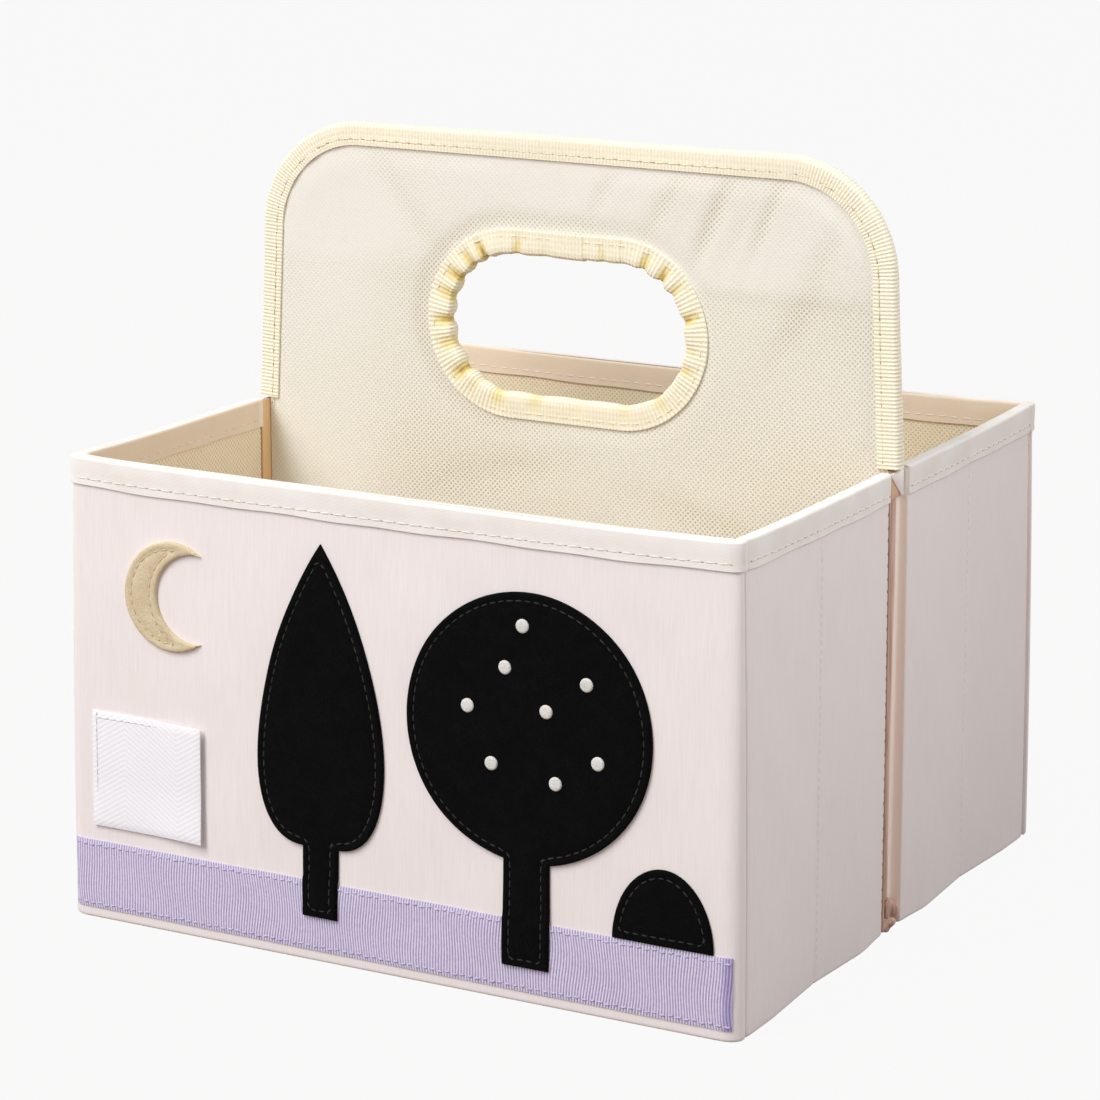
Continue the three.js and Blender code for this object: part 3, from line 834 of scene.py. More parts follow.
def addTape(stretch):
    loop, normal = sectionLoop(stretch, liningShape["inner"], tapeShape["pitch"])
    if not stretch.isWall:
        normal = normal * (0, 1)
    proud, gap, fold = tapeShape["proud"], tapeShape["gap"], tapeShape["round"]
    profile = [  # out from the wall, and height
        (gap, coverTop + 0.05), (gap, tapeFoot), (proud - 0.15, tapeFoot),
        (proud + 0.05, tapeFoot + tapeShape["lip"]), (proud - 0.1, tapeFoot + 3), (proud, tapeFoot + 5.5),
        *arc((proud - fold, rimTop - fold), fold, 0, 90, tapeShape["folds"])]
    s, size = loop[:, 0], len(loop)
    waver = tapeShape["waver"] * np.sin(s / 9 + stretch.phases[2]) * np.sin(s / 23 + stretch.phases[3])
    rings = []
    for i, (offset, z) in enumerate(profile):
        moved = loop + offset * normal
        rings.append(stretch.world(moved[:, 0], -moved[:, 1], z + waver * (0 < i < 4) + stretch.rimRise(s)))
    # within marks the faces into a bin, which the tape finish paints tan as warm shade; the top is left white
    inward = (normal[:, 1] > 0.7) & (np.abs(s) < stretch.length / 2 - 3)
    within = np.concatenate([inward * (i < len(profile) - 2) for i in range(len(profile))])
    foot = [list(range(size))[::-1]]
    faces = loftFaces(len(profile), size) + foot + capStrip(loop, (len(profile) - 1) * size)
    return addMesh(f"{stretch.name}_rim_binding", np.concatenate(rings), faces, "tape", {"within": within},
                   tapeShape["sharp"])


wallParts = {  # how each is made, its slot, and half the width of its bend at a crease
    "cover": (addCover, "canvas", 1.2),
    "lining": (addLining, "lining", 2.0),
    "rim_tape": (addTape, "rim_tape", 1.2),
}


def bendOver(piece, sign, leaves, width, slot, *nodes):  # cloth that runs across a crease, baked in place with its frame parts hidden; nothing bends it
    sign * (creaseY - width) * mm
    sign * (creaseY + width) * mm
    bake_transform(piece)
    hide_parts(*nodes)


def makeWalls():
    for key, stretch in {**walls, **sides}.items():
        for part, (add, slot, width) in wallParts.items():
            piece, nodes = add(stretch), [f"{body}_{part}" for body in stretch.bodies]
            if stretch.isWall:
                rides(piece, *stretch.bodies, slot, *nodes)
            else:
                bendOver(piece, binSigns[key[0]], stretch.bodies, width, slot, *nodes)
            if part == "lining":
                liningCut(stretch)


makeWalls()
print("walls covered")


# Corners: a fold of cloth round each corner hinge, which shows when the leaf swings
cornerFold = {"thick": 0.6, "wallSide": 16, "leafSide": 78, "steps": 13}
cornerCloths = {
    # the seam fold wears that darker pink canvas, painted shade of the corner's crease
    "seam": {"radius": 4.0, "slot": "canvas", "span": (1.3, tapeFoot + 1), "rows": 24},
    "tape": {"radius": 4.6, "slot": "rim_tape", "span": (tapeFoot + 0.6, rimTop - 1), "rows": 4},
}


def makeCornerFolds():
    for (binName, sideName), stretch in sides.items():
        binSign, sideSign = binSigns[binName], sideSigns[sideName]
        pivot = cornerPivot * (sideSign, binSign)
        angles = np.radians(np.linspace(-cornerFold["wallSide"], cornerFold["leafSide"], cornerFold["steps"]))
        angles = angles[::stretch.grooveWay]
        around = stacked(sideSign * np.cos(angles), -binSign * np.sin(angles))
        for finish, look in cornerCloths.items():
            heights = np.linspace(*look["span"], look["rows"])
            front, back = (stacked(*np.hsplit(pivot + size * around, 2), heights)
                           for size in (look["radius"], look["radius"] - cornerFold["thick"]))
            piece = addShell(f"{stretch.name}_corner_{finish}", front, back, finish)
            rides(piece, f"{binName}_wall", look["slot"])


makeCornerFolds()
print("corners folded")


# Grooves: a canvas gusset between the bins on each side, with tape over its top and cloth bunched at its foot
gussetLow, gussetHigh = nodeBox("right_side_gusset")
gussetSize = {
    "cheek": 0.75, "round": 0.7, "lip": 0.35, "cheekFlare": 0.45, "bendFrom": 4.6, "bendTo": 7.1,
    "floorSteps": 15, "cheekSteps": 4, "turns": 4, "rows": 70,
    "cheekShade": (2.0, 5.2), "tapeShade": (3.0, 4.5), "foldShade": (2.2, -3.6),  # places across, front to back, for the cheek's painted light, the tape's white and the folds' painted shade
    "folds": ((2.7, 0.6, 1.0), (-1.2, 0.4, 0.8), (-4.2, 0.3, 0.7)),  # place across, height and width
}
grooveTop = {
    "foot": 168.4, "half": 6.5, "high": gussetHigh[2] - 0.3, "pitch": 1.2, "edgeDrop": 0.3,
    "cloth": {"low": 0.05, "thick": 1.0, "crown": 0.4},
    "tape": {"low": 1.45, "thick": 0.8, "crown": 0.5},
}
bunchShape = {"pleat": 0.17, "lump": 0.08, "floor": 0.4, "rows": 15, "turnStep": 12, "sharp": 80}
bunches = {
    "upper": {"centre": (139.4, 0.6, 7.0), "half": (3.0, 6.8, 4.6), "lean": -26, "pleats": 5},
    "lower": {"centre": (140.2, -2.6, 3.1), "half": (2.8, 4.6, 2.8), "lean": 14, "pleats": 4},
}
grooveFloor = gussetLow[0] + gussetSize["cheek"]


def grooveFolds(y, z):  # soft folds that run up the groove
    total = 0
    for i, (place, height, width) in enumerate(gussetSize["folds"]):
        wander = 0.7 * np.sin(z / (17 + 5 * i) + i) + 0.3 * np.sin(z / 6.5 + 2 * i)
        total = total + height * hump(y - place - wander, width) * (0.75 + 0.25 * np.sin(z / 11 + 3 * i))
    return total


def makeGussets():
    side, half, top = gussetHigh
    cheek, turn, lip = half - gussetSize["cheek"], gussetSize["round"], gussetSize["lip"]
    floorRun = np.linspace(0, cheek - turn, gussetSize["floorSteps"])[:-1]
    cheekRun = np.linspace(grooveFloor + turn, side - lip, gussetSize["cheekSteps"])[1:-1]
    inner = arc((grooveFloor + turn, cheek - turn), turn, 180, 90, gussetSize["turns"])
    turnRun = np.linspace(cheek - turn, half, len(inner))
    face = np.concatenate([stacked(grooveFloor, floorRun), inner, stacked(cheekRun, cheek),
                           [(side - lip, cheek), (side, cheek + 0.1)]])
    rear = np.concatenate([stacked(gussetLow[0], floorRun), stacked(gussetLow[0], turnRun),
                           stacked(cheekRun, half), [(side - lip, half), (side - 0.1, half)]])
    heights = np.linspace(gussetLow[2], top, gussetSize["rows"])
    for (sideName, sideSign), (binName, binSign) in itertools.product(sideSigns.items(), binSigns.items()):
        y, way = binSign * face[:, 1:], binSign * sideSign
        soft = grooveFolds(y, heights) * ease(cheek - turn, cheek - 2.4, face[:, 1:])

        def lay(plan, lift=0.0):
            reach = np.clip((plan[:, :1] - grooveFloor - 0.5) / (side - grooveFloor - 0.5), 0, 1)
            x = plan[:, :1] + lift + reach * gussetSize["cheekFlare"] * swell(heights)
            return stacked(x * sideSign, plan[:, 1:] * binSign, heights)[::way]

        def mark(*faces):  # values on the front and on the rear
            return np.concatenate([np.broadcast_to(values, soft.shape)[::way].ravel() for values in faces])
        # cheek is painted light, fold painted shade, within painted warm shade on the rear face in the bin; tape
        # is the tape's own white
        marks = {
            "cheek": mark(ease(*gussetSize["cheekShade"], y), 0),
            "within": mark(0, rear[:, :1] < gussetLow[0] + 0.2),
            "tape": mark(ease(*gussetSize["tapeShade"], y) * (heights > grooveTop["foot"]), 0),
            "fold": mark(0.4 * ease(*gussetSize["foldShade"], y) * (0.8 + 0.2 * np.sin(heights / 9)), 0),
        }
        front = lay(face, soft)
        piece = addShell(f"{binName}_{sideName}_groove_cloth", front, lay(rear), "groove", False, marks)
        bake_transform(piece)
        if binName == "front":
            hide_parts(f"{sideName}_side_gusset")


def addGroovePlate(name, stops, sideSign, look, finish, slot):  # a cut piece flat on the groove's floor
    def lay(flat, x):
        return stacked(sideSign * (grooveFloor + x), sideSign * flat[:, 0], flat[:, 1])

    def face(flat, gap):
        crown = look["crown"] * ease(0, 3, gap) - grooveTop["edgeDrop"] * ease(0.6, 0, gap)
        return lay(flat, look["low"] + look["thick"] + crown)

    def under(flat, gap):
        return lay(flat, look["low"])
    outline = (np.array(stops) * (sideSign, 1))[::sideSign]
    loop = path([*outline, outline[0]], grooveTop["pitch"])
    piece = addPlate(name, [loop], grooveTop["pitch"], [], face, under, finish)
    rides(piece, "divider", slot)


def makeGrooveTops():
    foot, half, top = grooveTop["foot"], grooveTop["half"], grooveTop["high"]
    cloth = [(-half, foot), (half, foot), (half, top), (-half, top)]
    tape = [(-half + 0.4, top), (half - 1.6, foot + 0.8), (half, foot + 0.4), (half, top)]
    for sideName, sideSign in sideSigns.items():
        name = f"{sideName}_groove"
        addGroovePlate(f"{name}_top_cloth", cloth, sideSign, grooveTop["cloth"], "shadedGrooveCloth", "lining")
        addGroovePlate(f"{name}_tape_fold", tape, sideSign, grooveTop["tape"], "litGrooveTape", "rim_tape")


def addBunch(name, look, sideSign):  # a pleated lobe of cloth
    rises, turns = np.linspace(-90, 90, bunchShape["rows"])[1:-1], np.arange(0, 360, bunchShape["turnStep"])
    rise, around = np.meshgrid(np.radians(rises), np.radians(turns), indexing="ij")
    pleat = 1 + bunchShape["pleat"] * np.cos(rise) * np.sin(look["pleats"] * around + 1.5 * rise)
    pleat = pleat + bunchShape["lump"] * np.sin(3 * rise + around)
    # painted shade in the pleats' creases, given to the groove finish as its fold mark
    crease = np.concatenate([[0], 0.8 * ease(0.99, 0.84, pleat).ravel(), [0]])
    ball = stacked(np.cos(rise) * np.cos(around), np.cos(rise) * np.sin(around), np.sin(rise))
    ball = ball * pleat[..., None]
    x, y, z = (np.concatenate([[(0, 0, -1)], ball.reshape(-1, 3), [(0, 0, 1)]]) * look["half"]).T
    c, s = math.cos(math.radians(look["lean"])), math.sin(math.radians(look["lean"]))
    points = stacked(x, y * c - z * s, y * s + z * c) + look["centre"]
    points[:, 2] = np.maximum(points[:, 2], bunchShape["floor"])
    rows, count = rise.shape
    last, top = 1 + (rows - 1) * count, len(points) - 1
    pairs = [(a, (a + 1) % count) for a in range(count)]
    faces = [[0, 1 + b, 1 + a] for a, b in pairs] + loftFaces(rows, count, 1)
    faces += [[last + a, last + b, top] for a, b in pairs]
    if sideSign < 0:
        points, faces = points * (-1, 1, 1), [face[::-1] for face in faces]
    rides(addMesh(name, points, faces, "groove", {"fold": crease}, bunchShape["sharp"]), "divider", "canvas")


def makeBunches():
    for (sideName, sideSign), (place, look) in itertools.product(sideSigns.items(), bunches.items()):
        addBunch(f"{sideName}_groove_{place}_bunch", look, sideSign)


makeGussets()
makeGrooveTops()
makeBunches()
print("grooves lined")


# Carrying panel: cloth on both faces, and webbing folded over its edge and round the hand opening
panelLow, panelHigh = nodeBox("divider_front_panel")
edgeLow, edgeHigh = nodeBox("divider_edge_webbing")
openLow, openHigh = nodeBox("handle_opening_webbing")
carrier = {
    "taper": 2.8, "corner": 44.0, "fit": 0.3, "openingEdge": 9.5, "openingRise": 55.0,
    "pitch": 2.6, "openingPitch": 3.0, "relief": 0.8, "flatEdge": (8.5, 16),
}
shoulder, carrierTop, carrierHalf = edgeLow[2], panelHigh[2], panelHigh[0]
webFold = edgeHigh[2] - carrierTop  # the webbing stands this far outside the panel's edge
lean = math.radians(carrier["taper"])
arcZ = carrierTop - carrier["corner"]
arcX = carrierHalf - (arcZ - shoulder) * math.tan(lean) - carrier["corner"] / math.cos(lean)
openRadius = carrier["openingRise"] / 2
openRun = openHigh[0] - carrier["openingEdge"] - openRadius
openZ = (openLow[2] + openHigh[2]) / 2


def carrierLoop(pitch):
    half, foot, corner, turn = gussetLow[0] - carrier["fit"], panelLow[2], carrier["corner"], carrier["taper"]
    steps = round(corner * math.pi / 2 / pitch)
    right = arc((arcX, arcZ), corner, turn, 90, steps)
    left = arc((-arcX, arcZ), corner, 90, 180 - turn, steps)
    rise = [(-half, foot), (half, foot), (half, shoulder), (carrierHalf, shoulder), right[0]]
    fall = [left[-1], (-carrierHalf, shoulder), (-half, shoulder), (-half, foot)]
    top = path([right[-1], left[0]], pitch)
    return np.concatenate([path(rise, pitch), right[:-1], top, left[:-1], path(fall, pitch)])


def openingLoop(grow, pitch, group=1):  # clockwise, as a hole
    radius = openRadius + grow
    steps = group * round(radius * math.pi / pitch / group)
    right = arc((openRun, openZ), radius, 90, -90, steps)
    left = arc((-openRun, openZ), radius, 270, 90, steps)
    low, high = (path([a[-1], b[0]], pitch, group) for a, b in ((right, left), (left, right)))
    return np.concatenate([right[:-1], low, left[:-1], high])


creases = (  # wrinkles in the cloth: middle, length and width, depth, and how far they turn from level
    ((61, 265), 20, 2.4, 0.62, 66), ((84, 268), 17, 2.2, 0.5, 68), ((41, 270), 15, 2.6, 0.35, 58),
    ((16, 275), 14, 2.6, 0.3, 60), ((108, 256), 16, 3.5, 0.25, 62), ((98, 231), 20, 4.0, 0.25, 55),
    ((73, 262), 15, 1.8, 0.25, 62), ((-70, 262), 26, 4.0, 0.25, 128),
    ((-30, 160), 34, 5.0, 0.3, 15), ((60, 150), 30, 5.0, 0.25, 165), ((20, 90), 40, 6.0, 0.3, 8),
)
lapLine = {"z": 239, "from": 44, "to": 132, "fade": 6, "lift": 0.3}  # where the board's upper layer ends
trough = {"gap": 4, "width": 2.8, "depth": 0.6, "fade": (30, -40), "slope": 0.7}


def wrinkles(x, z):  # how far along and across each crease a place is, and the crease's sizes
    for (cx, cz), length, width, depth, turn in creases:
        c, s = math.cos(math.radians(turn)), math.sin(math.radians(turn))
        yield (x - cx) * c + (z - cz) * s, (z - cz) * c - (x - cx) * s, length, width, depth


def openingTrough(x, z):  # the cloth sinks beside the hand opening's binding, most at its upper left
    gap = np.hypot(x - np.clip(x, -openRun, openRun), z - openZ) - openRadius - carrier["openingEdge"]
    side = ease(*trough["fade"], x - trough["slope"] * (z - openZ))
    return trough["depth"] * hump(gap - trough["gap"], trough["width"]) * side


def panelRelief(x, z):
    total = 0.3 * np.sin(x / 21 + z / 33) * np.sin(z / 27 - x / 60) + 0.16 * np.sin((x - z) / 13 + 1) + 0.5
    total = total - openingTrough(x, z)
    for along, across, length, width, depth in wrinkles(x, z):
        ridges = 0.4 * hump(np.abs(across) - 2.4 * width, width)
        total = total + depth * hump(along, length) * (ridges - hump(across, width))
    start, end, fade = lapLine["from"], lapLine["to"], lapLine["fade"]
    lap = ease(start - fade, start, x) * ease(end + fade, end, x)
    lap = lap * ease(lapLine["z"] - 0.8, lapLine["z"] + 0.8, z)
    return carrier["relief"] * total + lapLine["lift"] * lap


def panelPitShadeFade(x, z):  # how far the emboss's pits fade, in bump and in painted shade: least in the wrinkles' troughs and beside the opening, which paints shade there, and most above the board's lap line and at the far left
    cloud = 0.5 + 0.5 * np.sin(x / 26 + 1.3 + np.sin(z / 31)) * np.sin(z / 22 + 0.6)
    high = ease(lapLine["z"] - 3, lapLine["z"] + 10, z)
    total = 0.15 + 0.3 * cloud + high * (0.3 + 0.3 * cloud)
    total = total - openingTrough(x, z) + 0.3 * ease(-60, -105, x)
    for along, across, length, width, depth in wrinkles(x, z):
        total = total - 1.4 * depth * hump(along, length) * hump(across, 1.3 * width)
    return np.clip(total, 0, 1)


def makePanelCloths():
    loops = [carrierLoop(carrier["pitch"]), openingLoop(webFold, carrier["openingPitch"])]
    faceOut, thick = abs(panelLow[1]), panelHigh[1] - panelLow[1]
    cut = (carrierHalf * 2, panelHigh[2] - panelLow[2])
    for name, sign in binSigns.items():
        def face(flat, gap):
            x, z = flat[:, 0] * -sign, flat[:, 1]
            return stacked(x, sign * (faceOut + panelRelief(x, z) * ease(*carrier["flatEdge"], gap)), z)

        def rear(flat, gap):
            return stacked(flat[:, 0] * -sign, sign * (faceOut - thick), flat[:, 1])
        piece = addPlate(f"{name}_carrier_cloth", loops, carrier["pitch"], [], face, rear, "carrierLining",
                         lambda points: {"smooth": panelPitShadeFade(points[:, 0], points[:, 2])})
        rides(piece, "divider", "lining", f"divider_{name}_panel")
        cut[0] * mm
        cut[1] * mm


makePanelCloths()
print("carrying panel clothed")


# Webbing: folded over an edge, swept along stations of which every ribSteps make one rib
webbing = {
    "thick": 0.9, "pitch": webbingLook["rib"], "ribSteps": 4, "depth": 0.11, "drop": 9.0, "openDrop": 9.5,
    "face": abs(edgeLow[1]), "nose": 0.55, "columns": 6, "turns": 9, "sharp": 40,
}
webStation = webbing["pitch"] / webbing["ribSteps"]


def edgeStations():  # places along the panel's edge and their outward directions
    corner, turn = carrier["corner"], carrier["taper"]
    right = arc((arcX, arcZ), corner, turn, 90, round(corner * math.radians(90 - turn) / webStation))
    rightOut = (right - (arcX, arcZ)) / corner
    rise = path([(carrierHalf, shoulder), right[0]], webStation)
    top = path([right[-1], (0, carrierTop)], webStation)
    places = np.concatenate([rise, right[:-1], top])
    outs = np.concatenate([np.tile(rightOut[0], (len(rise), 1)), rightOut[:-1], np.tile((0, 1), (len(top), 1))])
    return [np.concatenate([half, [middle], half[::-1] * (-1, 1)])
            for half, middle in ((places, (0, carrierTop)), (outs, (0, 1)))]


def openStations():  # clockwise from the top of the right arc
    loop = openingLoop(0, webStation, webbing["ribSteps"])
    inward = stacked(np.clip(loop[:, 0], -openRun, openRun), openZ) - loop
    return loop, inward / np.hypot(*inward.T)[:, None]


def webSection(drop, fold, face):  # from one inner edge round the fold to the other: out and side
    nose = face * webbing["nose"]
    turn = np.radians(np.linspace(-90, 90, webbing["turns"]))[1:-1]
    bend = stacked(fold - nose + nose * np.cos(turn), -face * np.sin(turn))
    lead = stacked(np.linspace(-drop, fold - nose, webbing["columns"]), face)
    return np.concatenate([lead, bend, lead[::-1] * (1, -1)])


def addWebbing(name, stations, drop, fold, lift, pucker, closed):
    places, outs = stations
    face, thick = webbing["face"], webbing["thick"]
    outer, inner = (webSection(drop - fold, fold - inset, face - inset) for inset in (0, thick))
    across, run = runLength(outer), runLength(places)[:, None]

    def sweep(section, bulge):
        bump = section + bulge
        plan = places[:, None] + bump[..., :1] * outs[:, None]
        return stacked(plan[..., 0], bump[..., 1], plan[..., 1])
    share = (across - across.mean()) / across.mean()  # -1 and 1 at the inner edges, 0 on the fold
    nose = ease(1.0, 0.2, np.abs(share))
    sideways = np.sign(outer[:, 1]) * ease(0.05, 0.3, np.abs(share))
    height = lift(run, share)
    bulge = stacked(np.where(height < 0, 0.4, 1) * height * nose, height * sideways)
    front, back = sweep(outer, bulge), sweep(inner, 0.6 * bulge)
    stationRun = np.arange(len(places))[:, None] * webStation
    marks = {}
    for key, value, onBack in (("run", stationRun, 1), ("across", across, 1), ("pucker", pucker(run, share), 1),
                               ("ribbed", 1.0, 0)):
        value = np.broadcast_to(value, front.shape[:2]).ravel()
        marks[key] = np.concatenate([value, value * onBack])
    piece = addShell(name, front, back, "webbing", closed, marks, webbing["sharp"])
    return addRibs(piece, webbing["pitch"], webbing["depth"], "webbing")


edgeWave = {"lift": 0.22, "size": 19, "cornerAt": 105, "cornerReach": 34, "cornerLift": 0.16, "cornerSize": 2.4}
gathers = {
    "depth": 1.5, "pillow": 0.9, "slant": 1.6, "lapRun": 252.5, "lapHeight": 0.55,
    "spots": (  # run from the right arc's top, depth, width
        (9, 0.9, 1.8), (18, 1.05, 1.7), (25, 0.6, 1.7), (36, 1.0, 2.0), (46, 0.35, 2.4), (54, 0.5, 2.2),
        (70, 0.4, 3.4), (85, 0.3, 4.0), (104, 0.2, 3.0), (123, 0.4, 4.6), (140, 0.5, 3.6), (149, 0.3, 2.4),
        (157, 1.05, 2.3), (168, 0.6, 2.8), (177, 1.0, 2.0), (186, 0.8, 2.4), (195, 1.0, 2.4), (203, 0.85, 2.0),
        (209.5, 1.1, 1.7), (223, 0.6, 2.2), (236, 0.2, 2.5), (261, 0.4, 2.0)),
}


def pinch(run, share):  # how deep the opening's webbing is gathered
    total = 0
    for spot, depth, width in gathers["spots"]:
        total = total + depth * hump(run - spot - share * gathers["slant"] * math.sin(spot * 1.7), width)
    return np.clip(total, 0, 1.1) * ease(1.02, 0.4, np.abs(share))


def openLift(run, share):  # pillows between the gathers, and one end lapped over the other
    zone = sum(depth * hump(run - spot, 3 * width) for spot, depth, width in gathers["spots"])
    puff = gathers["pillow"] * np.clip(zone, 0, 1) * ease(1.02, 0.4, np.abs(share))
    lapRun = gathers["lapRun"]
    lap = gathers["lapHeight"] * ease(lapRun - 20, lapRun - 3, run) * (run < lapRun + 0.01)
    return puff - gathers["depth"] * pinch(run, share) + lap


def makeWebbings():
    stations = edgeStations()
    length = runLength(stations[0])[-1]

    def edgeLift(run, share):  # slow waves, and small puckers at the two round corners
        corners = sum(hump(way - edgeWave["cornerAt"], edgeWave["cornerReach"]) for way in (run, length - run))
        slow = edgeWave["lift"] * np.sin(run / edgeWave["size"] + 1) * ease(1, 0.5, np.abs(share))
        return slow + edgeWave["cornerLift"] * corners * np.sin(run / edgeWave["cornerSize"]) * np.abs(share)
    piece = addWebbing("carrier_edge_binding", stations, webbing["drop"], webFold, edgeLift,
                       lambda run, share: 0, False)
    rides(piece, "divider", "webbing", "divider_edge_webbing")
    piece = addWebbing("opening_binding", openStations(), webbing["openDrop"], 0, openLift, pinch, True)
    rides(piece, "divider", "webbing", "handle_opening_webbing")


makeWebbings()
print("webbing sewn on")


# Soft bottoms: canvas, interlining and lining under each bin
bottomSize = {
    "corner": 8.0, "edge": 3.0, "pitch": 7.0, "insets": [1.5, 4.0], "wave": 0.5,
    "keep": 0.008, "tilt": 6.0, "anchor": 2.4,
}
bottomLayers = {"canvas": ("canvas", "canvas", 4.0), "pad": ("pad", "interlining", 0.2),
                "lining": ("bottomLining", "lining", 0.1)}  # finish, slot and inset


def binLoop(low, high, binSign, corner, pitch):  # plan of a bin's bottom, anticlockwise, round at the end wall
    near, far = (high[1], low[1]) if binSign < 0 else (low[1], high[1])
    steps = max(3, round(corner * math.pi / 2 / pitch * 3))
    inner = far - binSign * corner
    a = arc((low[0] + corner, inner), corner, 180, 180 - binSign * 90, steps)
    b = arc((high[0] - corner, inner), corner, binSign * 90, 0, steps)
    loop = np.concatenate([path([(low[0], near), a[0]], pitch), a[:-1], path([a[-1], b[0]], pitch), b[:-1],
                           path([b[-1], (high[0], near), (low[0], near)], pitch)])
    return loop[::-binSign]


def makeBottoms():
    for (binName, binSign), (layer, look) in itertools.product(binSigns.items(), bottomLayers.items()):
        finish, slot, inset = look
        node = f"{binName}_bottom_{layer}"
        low, high = nodeBox(node)
        floor, top = low[2], high[2]
        edge = np.array((inset, inset if binSign < 0 else 0, 0))
        trim = np.array((inset, inset if binSign > 0 else 0, 0))
        loop = binLoop(low + edge, high - trim, binSign, bottomSize["corner"], bottomSize["pitch"])

        def upper(flat, gap):
            ripple = np.sin(flat[:, 0] / 19 + 1) * np.sin(flat[:, 1] / 23) * ease(4, 30, gap)
            wave = bottomSize["wave"] * (0.6 + 0.4 * ripple) if layer == "lining" else 0
            return stacked(*flat.T, top + wave)

        def lower(flat, gap):
            rise = (top - floor) * 0.6 * ease(bottomSize["edge"], 0, gap)
            return stacked(*flat.T, floor + (rise if layer == "canvas" else 0))
        piece = addPlate(f"{binName}_base_{layer}", [loop], bottomSize["pitch"], bottomSize["insets"],
                         upper, lower, finish)
        rides(piece, "divider", slot, node)
        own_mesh(piece)


makeBottoms()
print("bottoms laid")


# Trim on the front wall: ribbon, blank label and felt shapes, laid on the cloth's own surface
frontWall = walls["front"]
trimSeat = 0.1
ribbonLow, ribbonHigh = nodeBox("grosgrain_ribbon")
labelLow, labelHigh = nodeBox("label_tab")
bandShape = {
    "ribbon": {"columns": 15, "station": 0.35, "bow": 0.8},  # its ribs wander by the bow
    "label": {"columns": 30, "station": 1.5},
    "edge": 0.4, "cornerSteps": 24, "ribDepth": 0.08,
}


def onWall(s, z, out):  # a place that stands out from the front wall's cloth, also round its corners
    across, facing, drawn = roundTurn(frontWall.length / 2 - np.abs(s), coverShape["cornerRound"])
    stand = (frontWall.surface(s, z) + out) * facing - drawn
    return frontWall.world(s + np.sign(s) * across * (swell(z) + out), stand, z)


def bandStations(low, high, step):  # closer together where the cloth turns round a corner
    wide = coverShape["cornerRound"][0]
    turnFrom = frontWall.length / 2 - wide
    s = np.linspace(low, high, round((high - low) / step))
    for end in (low, high):
        if abs(end) > turnFrom:
            way = np.sign(end)
            turn = np.linspace(0, math.asin((abs(end) - turnFrom) / wide), bandShape["cornerSteps"])
            s = np.union1d(s[s * way < turnFrom - step / 2], way * (turnFrom + wide * np.sin(turn)))
    return s


def addBand(name, low, high, finish, lift, columns, station, bow=0.0):  # a flat strip on the wall
    thick = high[1] - low[1]
    s, z = bandStations(low[0], high[0], station), np.linspace(low[2], high[2], columns)
    grid, rise = np.meshgrid(s, z, indexing="ij")
    edge = np.minimum.reduce([rise - low[2], high[2] - rise, grid - low[0], high[0] - grid])
    soft = bandShape["edge"] * thick * (1 - ease(0, 1.0, edge))
    base = trimSeat + lift((grid - low[0]) / (high[0] - low[0]), rise)
    front, back = onWall(grid, rise, base + thick - soft), onWall(grid, rise, base)
    up = math.pi * (rise - low[2]) / (high[2] - low[2])
    wander = np.sin(up) * np.sin(grid / 23 + 1) + 0.5 * np.sin(2 * up + grid / 11)
    run = low[0] + runLength(front[:, columns // 2])[:, None] + bow * wander
    marks = {"run": np.concatenate([run, run]), "ribbed": np.repeat([1.0, 0.0], grid.size)}
    return addShell(name, front, back, finish, False, marks)


def ribbonLift(share, rise):
    return 0.06 * np.sin(share * 37) * np.sin(rise / 6)


def labelLift(share, rise):  # the free end stands off the wall
    return 1.7 * ease(0.5, 1.05, share) + 0.6 * ease(58, 38, rise) + 0.15 * np.sin(rise / 9) * share


def makeBands():
    piece = addBand("lavender_ribbon", ribbonLow, ribbonHigh, "ribbon", ribbonLift, **bandShape["ribbon"])
    addRibs(piece, ribbonLook["rib"], bandShape["ribDepth"], "ribbon")
    rides(piece, "front_wall", "ribbon", "grosgrain_ribbon")
    piece = addBand("blank_label", labelLow, labelHigh, "label", labelLift, **bandShape["label"])
    rides(piece, "front_wall", "label", "label_tab")


# Felt: outlines in x and z, anticlockwise, from the boxes of their solids
feltSize = {
    "thick": 1.5, "round": 0.9, "pitch": 3.4, "outline": 1.6, "overRibbon": 0.7, "ribbonStep": 2.5,
    "insets": [0.25, 0.7, 1.6, 2.3, 3.0, 3.8],
    "stitchInset": 3.0, "stitchKeep": 0.93, "stitchPitch": 3.6, "stitchThick": 0.6,
    "dent": 0.4, "dentWidth": 0.8,
}
roundTree = {"trunk": 9.5, "grow": 0.2, "sweep": 5.8}
tallTree = {"trunk": 7.5, "crownFoot": 27, "bulge": 37.4, "waist": 31.8, "waistRise": 96, "length": 130}
moon = {"outer": 21.0, "inner": 17.0, "shift": 10.0, "rimSteps": 44, "hollowSteps": 30}
dot = {"radius": 2.6, "seat": 1.42, "thick": 0.8, "insets": [0.3, 0.8], "down": 50,  # below the crown's top
       "places": ((-24, 6), (-9, 22), (8, 8), (24, 20), (-14, -14), (12, -18), (29, -8), (-2, 38))}


def treeLoop(crown, x, trunk, foot):
    stem = path([crown[-1], (x - trunk, foot), (x + trunk, foot), crown[0]], feltSize["outline"])
    return np.concatenate([crown[:-1], stem])


def roundTreeLoop(low, high):
    trunk, radius = roundTree["trunk"], (high[0] - low[0]) / 2 + roundTree["grow"]
    x, z = (low[0] + high[0]) / 2, high[2] - radius
    start = math.degrees(math.asin(trunk / radius)) - 90
    steps = round(radius * roundTree["sweep"] / feltSize["outline"])
    return treeLoop(arc((x, z), radius, start, 180 - start, steps), x, trunk, low[2])


